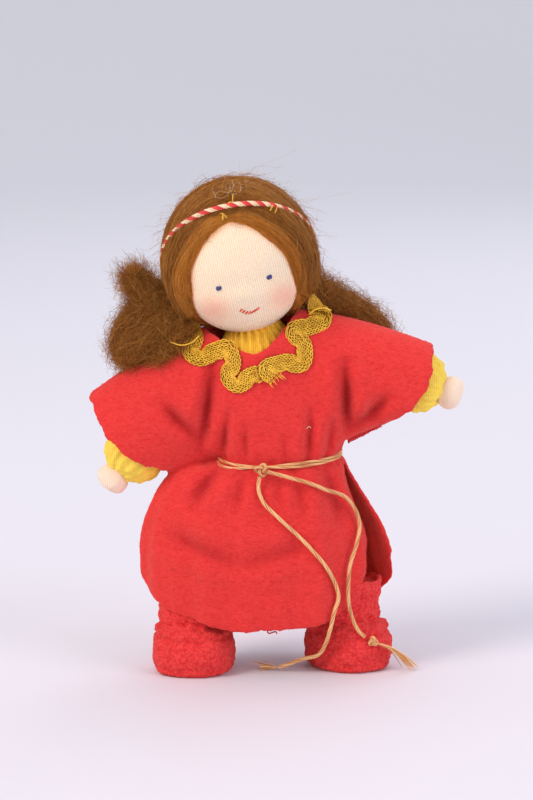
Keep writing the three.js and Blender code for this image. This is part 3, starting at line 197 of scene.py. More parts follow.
def make_mesh(name, verts, *face_sets, **attributes):
    """A smooth-shaded mesh from places in millimetres and arrays of quads or triangles."""
    verts = (np.asarray(verts, float).reshape(-1, 3) + SHIFT) * MM
    face_sets = [np.asarray(f, np.int32) for f in face_sets if len(f)]
    loops = np.concatenate([f.ravel() for f in face_sets])
    sizes = np.concatenate([np.full(len(f), f.shape[1], np.int32) for f in face_sets])
    mesh = bpy.data.meshes.new(name)
    mesh.vertices.add(len(verts))
    mesh.vertices.foreach_set("co", verts.astype(np.float32).ravel())
    mesh.loops.add(len(loops))
    mesh.loops.foreach_set("vertex_index", loops)
    mesh.polygons.add(len(sizes))
    starts = np.concatenate([[0], np.cumsum(sizes)[:-1]]).astype(np.int32)
    mesh.polygons.foreach_set("loop_start", starts)
    mesh.update(calc_edges=True)
    mesh.validate()
    mesh.polygons.foreach_set("use_smooth", np.ones(len(mesh.polygons), bool))
    for key, value in attributes.items():
        layer = mesh.attributes.new(key, "FLOAT", "POINT")
        layer.data.foreach_set("value", np.asarray(value, np.float32).ravel())
    obj = bpy.data.objects.new(name, mesh)
    bpy.context.scene.collection.objects.link(obj)
    return obj


def places(obj):
    """A mesh's vertices in millimetres, in the doll's own places."""
    co = np.empty(len(obj.data.vertices) * 3, np.float32)
    obj.data.vertices.foreach_get("co", co)
    return co.reshape(-1, 3).astype(float) / MM - SHIFT


def set_places(obj, verts):
    obj.data.vertices.foreach_set("co", ((verts + SHIFT) * MM).astype(np.float32).ravel())
    obj.data.update()


def grid_faces(rows, sides, closed=True, first=0):
    """Quads of a grid of rows x sides points; closed joins each row's last point to its first."""
    r = np.arange(rows - 1)[:, None]
    k = np.arange(sides if closed else sides - 1)[None, :]
    n = (k + 1) % sides
    quads = np.stack([r * sides + k, r * sides + n, (r + 1) * sides + n, (r + 1) * sides + k], -1)
    return quads.reshape(-1, 4) + first


def loft(rings, start=None, end=None):
    """Vertices and faces of a closed tube through rings, ended by fans round start and end."""
    rings = np.asarray(rings, float)
    rows, sides = rings.shape[:2]
    start = rings[0].mean(0) if start is None else start
    end = rings[-1].mean(0) if end is None else end
    verts = np.vstack([rings.reshape(-1, 3), start, end])
    k = np.arange(sides)
    n = (k + 1) % sides
    head = np.stack([np.full(sides, rows * sides), n, k], -1)
    tail = np.stack([np.full(sides, rows * sides + 1), (rows - 1) * sides + k, (rows - 1) * sides + n], -1)
    return verts, grid_faces(rows, sides), np.vstack([head, tail])


def lofted(name, rings, start=None, end=None, **attributes):
    verts, quads, fans = loft(rings, start, end)
    return make_mesh(name, verts, quads, fans, **attributes)


def frames(paths):
    """Two directions across each path at every point, carried along without twist."""
    t = unit(np.gradient(paths, axis=1))
    guess = np.where(np.abs(t[:, :1, 2:]) < 0.8, [[[0.0, 0.0, 1.0]]], [[[1.0, 0.0, 0.0]]])
    a = np.empty_like(paths)
    a[:, 0] = unit(np.cross(t[:, 0], guess[:, 0]))
    for i in range(1, paths.shape[1]):
        v = a[:, i - 1] - t[:, i] * np.sum(a[:, i - 1] * t[:, i], -1, keepdims=True)
        a[:, i] = unit(v)
    return a, np.cross(t, a)


def strands(paths, radius, sides=3, taper=0.0, tone=None):
    """Vertices, quads and tone of a thin tube along each of many paths (count x points x 3)."""
    paths = np.asarray(paths, float)
    count, points = paths.shape[:2]
    radius = np.broadcast_to(np.asarray(radius, float).reshape(-1, 1), (count, points))
    if taper:
        run = np.linspace(0, 1, points)
        radius = radius * (1 - taper * np.clip((run - 0.5) * 2, 0, 1) ** 2)
    a, b = frames(paths)
    angle = circle(sides)
    ring = a[:, :, None] * np.cos(angle)[:, None] + b[:, :, None] * np.sin(angle)[:, None]
    verts = paths[:, :, None] + ring * radius[:, :, None, None]
    quads = grid_faces(points, sides)[None] + (np.arange(count) * points * sides)[:, None, None]
    ends = []
    if sides <= 4:
        cap = np.arange(sides)
        base = (np.arange(count) * points * sides)[:, None]
        ends = [base + cap[::-1], base + (points - 1) * sides + cap]
    tone = np.zeros(count) if tone is None else np.asarray(tone, float)
    tones = np.repeat(tone, points * sides)
    return verts.reshape(-1, 3), quads.reshape(-1, 4), tones, ends


def strand_mesh(name, *batches):
    """One mesh of several batches of strands()."""
    verts, faces, tones, first = [], [], [], 0
    for v, quads, tone, ends in batches:
        faces.append(quads + first)
        faces += [end + first for end in ends]
        verts.append(v)
        tones.append(tone)
        first += len(v)
    return make_mesh(name, np.vstack(verts), *faces, tone=np.concatenate(tones))


def join(name, objects):
    """Puts the geometry of objects made here into one mesh."""
    verts, faces, tones, first = [], {}, [], 0
    for o in objects:
        v = places(o)
        sizes = np.empty(len(o.data.polygons), np.int32)
        o.data.polygons.foreach_get("loop_total", sizes)
        loops = np.empty(len(o.data.loops), np.int32)
        o.data.loops.foreach_get("vertex_index", loops)
        starts = np.concatenate([[0], np.cumsum(sizes)[:-1]])
        for size in np.unique(sizes):
            picked = starts[sizes == size][:, None] + np.arange(size)
            faces.setdefault(int(size), []).append(loops[picked] + first)
        layer = o.data.attributes.get("tone")
        tone = np.zeros(len(v), np.float32)
        if layer:
            layer.data.foreach_get("value", tone)
        verts.append(v)
        tones.append(tone)
        first += len(v)
        bpy.data.objects.remove(o)
    faces = [np.vstack(f) for f in faces.values()]
    return make_mesh(name, np.vstack(verts), *faces, tone=np.concatenate(tones))


def remeshed(obj, pitch):
    """Gives obj an even skin of small quads, pitch millimetres across."""
    modifier = obj.modifiers.new("even", "REMESH")
    modifier.mode = "VOXEL"
    modifier.voxel_size = pitch * MM
    modifier.use_smooth_shade = True
    apply_modifiers(obj)
    return obj


def apply_modifiers(obj):
    graph = bpy.context.evaluated_depsgraph_get()
    mesh = bpy.data.meshes.new_from_object(obj.evaluated_get(graph))
    obj.modifiers.clear()
    old = obj.data
    obj.data = mesh
    bpy.data.meshes.remove(old)


def cut(obj, other, operation):
    modifier = obj.modifiers.new("cut", "BOOLEAN")
    modifier.operation = operation
    modifier.solver = "MANIFOLD"
    modifier.object = other
    apply_modifiers(obj)
    bpy.data.objects.remove(other)
    return obj


def edge_list(obj):
    pairs = np.empty(len(obj.data.edges) * 2, np.int32)
    obj.data.edges.foreach_get("vertices", pairs)
    return pairs.reshape(-1, 2)


def relax(verts, pairs, passes):
    """Draws each vertex halfway to the middle of its neighbours, in each pass."""
    count = np.bincount(pairs.ravel(), minlength=len(verts))[:, None]
    for _ in range(passes):
        total = np.zeros_like(verts)
        for k in range(3):
            total[:, k] += np.bincount(pairs[:, 0], verts[pairs[:, 1], k], len(verts))
            total[:, k] += np.bincount(pairs[:, 1], verts[pairs[:, 0], k], len(verts))
        verts = mix(verts, total / np.maximum(count, 1), 0.5)
    return verts


def normals_of(obj):
    n = np.empty(len(obj.data.vertices) * 3, np.float32)
    obj.data.vertex_normals.foreach_get("vector", n)
    return n.reshape(-1, 3).astype(float)


def tree_of(obj):
    """A search tree over the mesh, in the doll's own millimetres."""
    verts = places(obj)
    polygons = [tuple(p.vertices) for p in obj.data.polygons]
    return BVHTree.FromPolygons([Vector(v) for v in verts], polygons)


def dropped(tree, points):
    """Where a line straight back from each point meets the tree, the normal there, and whether it does."""
    back = Vector(BACK)
    hits, normals, good = [], [], []
    for p in np.asarray(points, float).reshape(-1, 3):
        place, normal, _, _ = tree.ray_cast(Vector(p), back, 80.0)
        good.append(place is not None)
        hits.append(place if place is not None else p)
        normals.append(normal if normal is not None else -back)
    return np.array(hits, float), np.array(normals, float), np.array(good)


# Materials

# A wave texture of scale 1 repeats after this much of a unit
WAVE_REPEAT = 0.314
# The two colour inputs of Blender's Mix node, and its colour output
MIX_A, MIX_B, MIXED = 6, 7, 2


def linear(code):
    """A colour as Blender's shaders take it, from its sRGB hex code."""
    channels = [int(code[i : i + 2], 16) / 255 for i in (1, 3, 5)]
    return tuple(c / 12.92 if c <= 0.04045 else ((c + 0.055) / 1.055) ** 2.4 for c in channels) + (1.0,)


def to_the_metre(size):
    """A pattern's scale from the real size of its grain, in millimetres."""
    return 1 / (size * MM)


class Paint:
    """A material's node tree, with the one way to add to it."""

    def __init__(self, name):
        self.material = bpy.data.materials.new(name)
        self.material.use_nodes = True
        self.tree = self.material.node_tree
        self.shader = self.tree.nodes["Principled BSDF"]
        self.place = self.add("TexCoord", "Object")

    def add(self, kind, output, inputs=None, stops=(), **settings):
        """Adds a node with its settings, inputs and colour stops, and gives one of its outputs."""
        node = self.tree.nodes.new("ShaderNode" + kind)
        for key, value in settings.items():
            setattr(node, key, value)
        self.put(node, inputs or {})
        if stops:
            elements = node.color_ramp.elements
            while len(elements) < len(stops):
                elements.new(0.5)
            for element, (position, code) in zip(elements, stops):
                element.position = position
                element.color = linear(code)
        return node.outputs[output]

    def put(self, node, inputs):
        """Sets a node's inputs, each to a value, to a hex code's colour or to an output to link from."""
        for key, value in inputs.items():
            if isinstance(value, bpy.types.NodeSocket):
                self.tree.links.new(value, node.inputs[key])
            else:
                node.inputs[key].default_value = linear(value) if isinstance(value, str) else value

    def finish(self, **inputs):
        """Sets the shader's own inputs; an underscore in a name stands for a space."""
        self.put(self.shader, {key.replace("_", " "): value for key, value in inputs.items()})
        return self.material


def felt_material(name, lit, deep):
    """Brushed red wool flannel: mottled red, short nap combed level, a soft glow of fuzz at the edges."""
    m = Paint(name)
    combed_way = {"Vector": m.place, "Scale": (0.45, 0.45, 1.3), "Rotation": (0, 0.25, 0)}
    place = m.add("Mapping", "Vector", combed_way)
    nap = m.add(
        "TexNoise", "Fac", {"Vector": place, "Scale": to_the_metre(0.4348), "Detail": 5, "Roughness": 0.75},
    )
    place = m.add("Mapping", "Vector", {"Vector": m.place, "Scale": (0.6, 0.6, 1), "Rotation": (0, -0.5, 0)})
    mottle = m.add(
        "TexNoise", "Fac", {"Vector": place, "Scale": to_the_metre(0.9524), "Detail": 4, "Roughness": 0.7},
    )
    cloud = m.add(
        "TexNoise", "Fac", {"Vector": m.place, "Scale": to_the_metre(11.11), "Detail": 2, "Roughness": 0.6},
    )
    most = m.add("Math", 0, {0: nap, 1: 0.6}, operation="MULTIPLY")
    level = m.add("Math", 0, {0: mottle, 1: 0.4, 2: most}, operation="MULTIPLY_ADD")
    colour = m.add("ValToRGB", "Color", {"Fac": level}, stops=((0.3, deep), (0.52, lit), (0.8, "#f8564f")))
    cloud = m.add("Math", 0, {0: cloud, 1: 0.2}, operation="MULTIPLY")
    colour = m.add("Mix", MIXED, {"Factor": cloud, MIX_A: colour, MIX_B: deep}, data_type="RGBA")
    # Painted shade: the fold attribute darkens the red in the creases and gathers
    fold = m.add("Attribute", "Fac", attribute_name="fold")
    colour = m.add("Mix", MIXED, {"Factor": fold, MIX_A: colour, MIX_B: "#a3141c"}, data_type="RGBA")
    height = m.add("Math", 0, {0: mottle, 1: 0.9, 2: nap}, operation="MULTIPLY_ADD")
    return m.finish(
        Base_Color=colour,
        Roughness=0.92,
        Normal=m.add("Bump", "Normal", {"Height": height, "Distance": 0.42 * MM, "Strength": 0.85}),
        Specular_IOR_Level=0.12,
        Sheen_Weight=0.55,
        Sheen_Roughness=0.42,
        Sheen_Tint="#ff9a8c",
    )


def knitted(name, valley_shade, lit, rib, depth, turn=0.0):
    """The ground of the jerseys: close ribs with a stitch rhythm along each; rib and depth in millimetres."""
    m = Paint(name)
    place = m.add("Mapping", "Vector", {"Vector": m.place, "Rotation": (0, turn, 0)})
    shared = {"Vector": place, "Detail": 2.0, "Detail Roughness": 0.6}
    ribs = {**shared, "Scale": WAVE_REPEAT / (rib * MM), "Distortion": 1.1, "Detail Scale": 2.0}
    ribs = m.add("TexWave", "Fac", ribs, wave_type="BANDS", bands_direction="X")
    rows = {**shared, "Scale": WAVE_REPEAT / (0.45 * MM), "Distortion": 2.2, "Detail Scale": 3.0}
    rows = m.add("TexWave", "Fac", rows, wave_type="BANDS", bands_direction="Z")
    height = m.add("Math", 0, {0: rows, 1: 0.35, 2: ribs}, operation="MULTIPLY_ADD")
    height = m.add("Math", 0, {0: height, 1: 0.74}, operation="MULTIPLY")
    # Painted shade and highlight: the colour follows the ribs' height, darker in the valleys between ribs and
    # lighter on their tops
    colour = m.add("ValToRGB", "Color", {"Fac": height}, stops=((0.05, valley_shade), (0.7, lit)))
    wobble = m.add(
        "TexNoise", "Fac", {"Vector": m.place, "Scale": to_the_metre(3.846), "Detail": 2, "Roughness": 0.6},
    )
    wobble = m.add("Math", 0, {0: wobble, 1: 0.2}, operation="MULTIPLY")
    colour = m.add("Mix", MIXED, {"Factor": wobble, MIX_A: colour, MIX_B: valley_shade}, data_type="RGBA")
    return m, colour, m.add("Bump", "Normal", {"Height": height, "Distance": depth * MM, "Strength": 0.8})


def jersey_material(name, valley_shade, lit, depth=0.12):
    """Cotton jersey with ribs half a millimetre apart: matt, slightly fuzzy, letting a little light in."""
    m, colour, normal = knitted(name, valley_shade, lit, 0.5, depth)
    return m.finish(
        Base_Color=colour,
        Normal=normal,
        Roughness=0.85,
        Specular_IOR_Level=0.2,
        Sheen_Weight=0.2,
        Sheen_Tint=lit,
        Subsurface_Weight=0.12,
        Subsurface_Radius=(1.0, 0.6, 0.2),
        Subsurface_Scale=2 * MM,
    )


def skin_material(name):
    """Fine tricot over wool: pale ribs, small ochre specks where the ground shows, crayoned pink cheeks."""
    m, colour, normal = knitted(name, "#f6d8ac", "#fff0d9", 0.57, 0.1, turn=LEAN)
    place = m.add("Mapping", "Vector", {"Vector": m.place, "Scale": (1, 1, 0.7)})
    speck = m.add(
        "TexNoise", "Fac", {"Vector": place, "Scale": to_the_metre(0.2778), "Detail": 1, "Roughness": 0.6},
    )
    speck = m.add("Math", 0, {0: speck, 1: 0.62}, operation="GREATER_THAN")
    speck = m.add("Math", 0, {0: speck, 1: 0.3}, operation="MULTIPLY")
    colour = m.add("Mix", MIXED, {"Factor": speck, MIX_A: colour, MIX_B: "#e0ac68"}, data_type="RGBA")
    # The glow attribute is painted shade: a warm, darker band on the skin along the hair's edge
    for layer, code in (("blush", "#f6a78c"), ("glow", "#d98a3c")):
        share = m.add("Attribute", "Fac", attribute_name=layer)
        colour = m.add("Mix", MIXED, {"Factor": share, MIX_A: colour, MIX_B: code}, data_type="RGBA")
    return m.finish(
        Base_Color=colour,
        Normal=normal,
        Roughness=0.8,
        Specular_IOR_Level=0.25,
        Sheen_Weight=0.12,
        Subsurface_Weight=0.25,
        Subsurface_Radius=(1.0, 0.5, 0.25),
        Subsurface_Scale=1.5 * MM,
    )


def thread_material(name, deep, lit, rough=0.5, sheen=0.1, anisotropic=0.0):
    """Thread or fibre: each strand has its own tone between a deep and a lit colour."""
    m = Paint(name)
    fleck = m.add(
        "TexNoise", "Fac", {"Vector": m.place, "Scale": to_the_metre(0.4), "Detail": 2, "Roughness": 0.6},
    )
    tone = m.add("Attribute", "Fac", attribute_name="tone")
    tone = m.add("Math", 0, {0: tone, 1: 0.7}, operation="MULTIPLY")
    level = m.add("Math", 0, {0: fleck, 1: 0.4, 2: tone}, operation="MULTIPLY_ADD")
    colour = m.add("ValToRGB", "Color", {"Fac": level}, stops=((0.1, deep), (0.85, lit)))
    return m.finish(
        Base_Color=colour,
        Roughness=rough,
        Sheen_Weight=sheen,
        Sheen_Tint=lit,
        Specular_IOR_Level=0.4,
        Anisotropic=anisotropic,
    )


def hair_material(name, deep, middle, lit, through=0.25):
    """Brown wool fleece: each lock has its own brown, with light passing through loose fibres."""
    m = Paint(name)
    place = m.add("Mapping", "Vector", {"Vector": m.place, "Scale": (1, 1, 0.5)})
    fleck = m.add(
        "TexNoise", "Fac", {"Vector": place, "Scale": to_the_metre(1.4286), "Detail": 3, "Roughness": 0.6},
    )
    tone = m.add("Attribute", "Fac", attribute_name="tone")
    tone = m.add("Math", 0, {0: tone, 1: 0.75}, operation="MULTIPLY")
    level = m.add("Math", 0, {0: fleck, 1: 0.3, 2: tone}, operation="MULTIPLY_ADD")
    colour = m.add("ValToRGB", "Color", {"Fac": level}, stops=((0.08, deep), (0.45, middle), (0.95, lit)))
    glow = m.add("BsdfTranslucent", 0, {"Color": colour})
    both = m.add("MixShader", 0, {0: through, 1: m.shader.outputs[0], 2: glow})
    m.put(m.tree.nodes["Material Output"], {"Surface": both})
    return m.finish(
        Base_Color=colour,
        Roughness=0.55,
        Specular_IOR_Level=0.35,
        Sheen_Weight=0.15,
        Sheen_Tint=lit,
    )


def fleece_material(name, deep, lit):
    """Carded fleece under the loose strands: combed grain, with soft painted shade in the partings, where the
    colour darkens in the grain's dips.
    """
    m = Paint(name)
    place = m.add("Mapping", "Vector", {"Vector": m.place, "Scale": (1, 1, 0.3)})
    grain = {"Vector": place, "Scale": to_the_metre(1.1111), "Detail": 5, "Roughness": 0.6, "Distortion": 0.6}
    grain = m.add("TexNoise", "Fac", grain)
    return m.finish(
        # The colour follows the grain's height: the wool's own browns, with painted shade where it dips into
        # the partings
        Base_Color=m.add("ValToRGB", "Color", {"Fac": grain}, stops=((0.3, deep), (0.7, lit))),
        Roughness=0.8,
        Specular_IOR_Level=0.15,
        Normal=m.add("Bump", "Normal", {"Height": grain, "Distance": 0.6 * MM, "Strength": 0.8}),
        Sheen_Weight=0.3,
        Sheen_Tint=lit,
    )


def plush_material(name, deep, lit):
    """Looped red plush for the boots: small loops in rows, rough and light-soaking, with painted shade in the
    hollows between the loops.
    """
    m = Paint(name)
    loops = {"Vector": m.place, "Scale": to_the_metre(0.8696), "Randomness": 0.8}
    loops = m.add("TexVoronoi", "Distance", loops)
    place = m.add("Mapping", "Vector", {"Vector": m.place, "Scale": (1, 1, 1.6)})
    coarse = m.add(
        "TexNoise", "Fac", {"Vector": place, "Scale": to_the_metre(2.381), "Detail": 3, "Roughness": 0.6},
    )
    coarse = m.add("Math", 0, {0: coarse, 1: 1.2}, operation="MULTIPLY")
    height = m.add("Math", 0, {0: coarse, 1: loops}, operation="SUBTRACT")
    level = m.add("Math", 0, {0: height, 1: 0.35}, operation="ADD")
    return m.finish(
        # Painted shade: the colour follows the loops' height, darker in the hollows between them
        Base_Color=m.add("ValToRGB", "Color", {"Fac": level}, stops=((0.15, deep), (0.7, lit))),
        Roughness=0.95,
        Specular_IOR_Level=0.1,
        Normal=m.add("Bump", "Normal", {"Height": height, "Distance": 0.35 * MM, "Strength": 0.8}),
        Sheen_Weight=0.45,
        Sheen_Roughness=0.5,
        Sheen_Tint="#ff8f80",
    )


def steel_material(name):
    """The armature's drawn steel wire: fine streaks along it."""
    m = Paint(name)
    place = m.add("Mapping", "Vector", {"Vector": m.place, "Scale": (1, 1, 0.1)})
    streaks = m.add(
        "TexNoise", "Fac", {"Vector": place, "Scale": to_the_metre(0.3333), "Detail": 2, "Roughness": 0.6},
    )
    colour = m.add("ValToRGB", "Color", {"Fac": streaks}, stops=((0.3, "#85888c"), (0.7, "#b4b7ba")))
    return m.finish(Base_Color=colour, Metallic=1.0, Roughness=0.38)


def paper_material(name, near, far):
    """The floor's pale, matt paper, which rises behind the doll in its far colour."""
    m = Paint(name)
    tooth = m.add(
        "TexNoise", "Fac", {"Vector": m.place, "Scale": to_the_metre(16.667), "Detail": 2, "Roughness": 0.6},
    )
    tooth = m.add("Math", 0, {0: tooth, 1: 0.04}, operation="MULTIPLY")
    colour = m.add("Mix", MIXED, {"Factor": tooth, MIX_A: near, MIX_B: "#dfdcea"}, data_type="RGBA")
    share = m.add("Attribute", "Fac", attribute_name="far")
    colour = m.add("Mix", MIXED, {"Factor": share, MIX_A: colour, MIX_B: far}, data_type="RGBA")
    return m.finish(Base_Color=colour, Roughness=0.6, Specular_IOR_Level=0.25)


MATERIALS = {
    "felt": lambda: felt_material("felt.red", "#f6423f", "#d82629"),
    "felt_fuzz": lambda: thread_material("wool.red.fuzz", "#d32226", "#ff6a60", rough=0.8, sheen=0.3),
    "overcast": lambda: thread_material("thread.red.overcast", "#b3121c", "#ea3a3a", rough=0.7, sheen=0.3),
    "jersey": lambda: jersey_material("jersey.yellow", "#ffcf3c", "#ffe66c"),
    "collar": lambda: jersey_material("jersey.yellow.collar", "#f6b32a", "#ffd24e"),
    "skin": lambda: skin_material("tricot.skin"),
    "hand": lambda: jersey_material("jersey.skin", "#fad8b6", "#feead6", depth=0.08),
    "fleece": lambda: fleece_material("fleece.brown", "#77400f", "#b06d26"),
    "hair": lambda: hair_material("wool.brown.strands", "#7a410d", "#b56f23", "#e3a552"),
    # Painted glow: the down at the hair's edge is coloured golden, lighter than the hair, for light shining
    # through it
    "hairline": lambda: hair_material("wool.down.painted_glow", "#c8741c", "#e6972f", "#ffc664", through=0.5),
    "gold": lambda: thread_material("thread.gold.braid", "#bf7a08", "#ffce40", rough=0.42),
    # Painted shade: the dark sheet seen through the gaps between the braid's stitches
    "gold_gap_shade": lambda: thread_material("thread.gold.shade", "#8a5a08", "#a8740e", rough=0.8),
    "floss": lambda: thread_material(
        "floss.apricot.satin", "#b8581c", "#fbcb8c", rough=0.36, anisotropic=0.3,
    ),
    "band_red": lambda: thread_material("thread.red.ply", "#c4262a", "#ee4a46"),
    "band_cream": lambda: thread_material("thread.cream.ply", "#dcb07a", "#fbe3bd"),
    "eye": lambda: thread_material("thread.violet.eye", "#25265c", "#5a5c9c", rough=0.45),
    "mouth": lambda: thread_material("thread.red.mouth", "#cf3422", "#f0604a"),
    "plush": lambda: plush_material("plush.red.looped", "#da3032", "#f24645"),
    "wire": lambda: steel_material("wire.steel.drawn"),
    "paper": lambda: paper_material("paper.pale", "#e6e3ea", "#fafbff"),
}
made_materials = {}


def material(key):
    """The material of that key, made the first time it is asked for."""
    if key not in made_materials:
        made_materials[key] = MATERIALS[key]()
    return made_materials[key]


def paint(obj, key):
    obj.data.materials.clear()
    obj.data.materials.append(material(key))
    return obj


# The tunic

TUNIC_SIDES = 96
SLEEVE_SIDES = 48
FELT = 1.3
NECK_POINT = 36.0
NECK_HALF = 12.5  # half the width of the neck's opening
SLEEVE_FROM, CUFF_FROM = 16, 26  # where the tunic is parted, out from the middle
SKIRT_BELOW = 48  # and where its skirt is, by height
# Share of the neck point's height, then shares of half width, front and rear depth
BODICE = [
    (0.97, 0.72, 0.66, 0.6), (0.9, 0.8, 0.88, 0.8), (0.78, 0.88, 0.98, 0.9), (0.58, 0.98, 1.0, 0.98),
    (0.3, 1.04, 1.02, 1.01),
]
# Share of the skirt's length, then reach to the right, to the left and of the back panel, and shares of
# depth and folds
SKIRT = [
    (0.085, 26.0, 17.6, 18.6, 0.16, 0.1),
    (0.18, 30.3, 18.4, 20.8, 0.44, 0.3),
    (0.3, 33.0, 20.2, 24.0, 0.7, 0.5),
    (0.46, 35.2, 22.9, 28.0, 0.92, 0.75),
    (0.7, 35.7, 24.0, 30.6, 1.02, 1.0),
    (1.0, 34.6, 23.0, 30.0, 0.98, 1.0),
]
SKIRT_LENGTH = 45.0
SLEEVES = {"right": (24.2, 0.4, 0.8), "left": (20.0, 2.2, -0.4)}  # heights of tip, hem's foot and armpit
NECKLINE = [(-0.5, 0.56), (-0.2, 0.9), (0, 1), (0.2, 0.9), (0.5, 0.56)]
FRONT_HEM = [
    (-1.13, 0.5), (-1, 0.56), (-0.985, 0.7), (-0.93, 0.78), (-0.84, 0.85), (-0.72, 0.9), (-0.43, 0.95),
    (-0.17, 0.995), (0.14, 0.99), (0.42, 0.98), (0.62, 0.955), (0.8, 0.89), (0.91, 0.81), (0.98, 0.69),
    (1, 0.55), (1.13, 0.5),
]
BACK_HEM = [
    (-1.13, 0.5), (-1, 0.58), (-0.97, 0.72), (-0.86, 0.84), (-0.6, 0.93), (-0.2, 0.97), (0.2, 0.97),
    (0.6, 0.93), (0.86, 0.86), (0.98, 0.78), (1.01, 0.72), (1, 0.6), (1.13, 0.5),
]
# Creases pressed into the front: from x, z to x, z in millimetres, then depth and half width
CREASES = [
    (-15.0, 80.0, -18.4, 59.0, 2.4, 2.0),
    (19.0, 81.0, 19.6, 62.5, 3.2, 2.0),
    (-12.6, 57.5, -11.4, 69.0, 1.3, 1.3),
    (9.4, 56.5, 10.0, 69.5, 1.4, 1.3),
    (-6.5, 57.0, -6.8, 65.5, 0.8, 1.1),
    (3.5, 56.0, 3.0, 63.5, 0.6, 1.1),
    (14.6, 57.0, 15.6, 67.0, 1.1, 1.1),
    (-14.0, 54.5, -20.5, 45.0, 1.8, 1.9),
    (-7.0, 53.5, -9.5, 43.0, 0.9, 1.6),
    (1.5, 52.5, 2.0, 44.0, 0.7, 1.3),
    (6.5, 52.5, 8.5, 41.0, 1.0, 1.6),
    (14.0, 53.0, 18.0, 40.0, 1.3, 1.8),
    (-19.5, 62.0, -28.0, 71.0, 1.9, 1.9),
    (22.0, 65.0, 30.0, 73.0, 1.9, 1.9),
    (-26.0, 37.0, -8.0, 30.0, 1.1, 2.6),
    (-8.0, 30.0, 10.0, 35.0, 0.9, 2.6),
]


def lean_share_above(share):
    return mix(0.5, 1.0, min(1.0, share / 0.4))


def lean_share_below(share):
    return mix(0.5, 0.0, min(1.0, share / 0.4))


def sideways(share):
    """The doll's own sideways direction, leaning by that share."""
    return np.array([math.cos(LEAN * share), 0, math.sin(LEAN * share)])


def hoop(centre, across, wide, forth, deep):
    """A ring of places round centre: how far each lies across, and how far forth."""
    return centre + wide[:, None] * across + deep[:, None] * forth


def tunic_body(name, inset, run_on):
    """The tunic's body and skirt as one closed shape, drawn in by inset and longer by run_on."""
    rows = []

    def row(place, share, width, front, rear, shift=0.0, back_width=None, fold=0.0):
        back_width = width if back_width is None else back_width
        sizes = [width - inset, shift, back_width - inset, front - inset, rear - inset, fold]
        rows.append([*place, share, *sizes])

    for height, width, front, rear in BODICE:
        share = lean_share_above(height)
        row(leaning(0, 0, height * NECK_POINT, share), share, 18 * width, 12.2 * front, 12.2 * rear)
    for height in (2.4, -0.6):
        row(leaning(0, 0, height, 0.25), 0.25, 17.4, 11.2, 11.2)
    below = list(SKIRT)
    if run_on:
        below.append((1 + run_on / SKIRT_LENGTH, *SKIRT[-1][1:]))
    for length, right, left, behind, depth, fold in below:
        place = WAIST - [0, 0, length * SKIRT_LENGTH]
        front, rear = mix(11.3, 16.2, depth), mix(11.3, 17.6, depth)
        row(place, 0.0, (left + right) / 2, front, rear, (left - right) / 2, behind, fold)
    rows = upsample(rows, 6)
    a = 2 * np.pi * (np.arange(TUNIC_SIDES) + 0.5) / TUNIC_SIDES
    behind = np.sin(a) > 0
    rings = []
    for x, y, z, share, width, shift, back_width, front, rear, fold in rows:
        pleats = 0.45 * np.cos(12 * (a + 0.13 * np.pi))
        wave = fold * (pleats + 0.5 * np.cos(7 * a + 1.0) + 0.35 * np.cos(19 * a))
        wide = np.where(behind, 0.0, shift) + (np.where(behind, back_width, width) + wave) * np.cos(a)
        deep = (np.where(behind, rear, front) + wave) * np.sin(a)
        rings.append(hoop(np.array([x, y, z]), sideways(share), wide, BACK, deep))
    return lofted(name, rings, leaning(0, 0, NECK_POINT - inset))


def tunic_sleeve(name, side, inset, run_on):
    """One sleeve as a closed shape, widening to its bowed hem."""
    sign = SIDES[side]
    tip, foot, armpit = SLEEVES[side]
    shares = np.linspace(0, 1, 25)
    rings = []
    a = circle(SLEEVE_SIDES)

    def at(x, z):
        return leaning(sign * x, 0, z)

    for i, t in enumerate([*shares, 1.0] if run_on else shares):
        u = max(0.0, (t - 0.2) / 0.8)
        crown = 1.2 * 4 * u * (1 - u)
        start = min(1.0, t / 0.2)
        top = at(
            mix(NECK_HALF / 2, NECK_HALF, start) if t < 0.2 else mix(NECK_HALF, 45.2, u),
            mix(NECK_POINT, tip, u) + crown,
        )
        v = max(0.0, (t - 0.4) / 0.6)
        bottom = at(mix(6.25, 18, t / 0.4), armpit) if t < 0.4 else at(mix(18, 28.4, v), mix(armpit, foot, v))
        half = (top - bottom) / 2
        out = unit(np.cross(BACK, half) * sign)
        centre = (top + bottom) / 2 + (out * run_on if i == len(shares) else 0)
        reach = 1 - inset / np.linalg.norm(half)
        depth = (9.6 - inset) * mix(1.0, np.abs(np.sin(a)), 0.2)
        ring = centre + half * (reach * np.cos(a))[:, None] + BACK * (depth * np.sin(a))[:, None]
        ragged = 0.28 * np.sin(13 * a + sign) + 0.22 * np.sin(29 * a + 2) + 0.16 * np.sin(41 * a)
        rings.append(ring + out * (4.2 * t * np.sin(a) ** 2 + ragged * (t == 1))[:, None])
    return lofted(name, rings)


def outward(obj, *caps):
    """Adds a face through the corners of each cap, and turns all of the mesh's faces outward."""
    built = bmesh.new()
    built.from_mesh(obj.data)
    built.verts.ensure_lookup_table()
    for corners in caps:
        built.faces.new([built.verts[i] for i in corners])
    bmesh.ops.recalc_face_normals(built, faces=built.faces)
    built.to_mesh(obj.data)
    built.free()
    return obj


def prism(outline, low, high, leans):
    """A block between two depths, with an outline of x, z pairs measured from the waist or from the floor."""
    x, z = np.array(outline, float).T
    count = len(outline)
    rings = [
        leaning(x, y, z) if leans else np.stack([x, np.full(count, float(y)), z], -1) for y in (low, high)
    ]
    k = np.arange(count)
    sides = np.stack([k, (k + 1) % count, (k + 1) % count + count, k + count], -1)
    block = make_mesh("part", np.vstack(rings), sides)
    return outward(block, range(count), range(2 * count - 1, count - 1, -1))


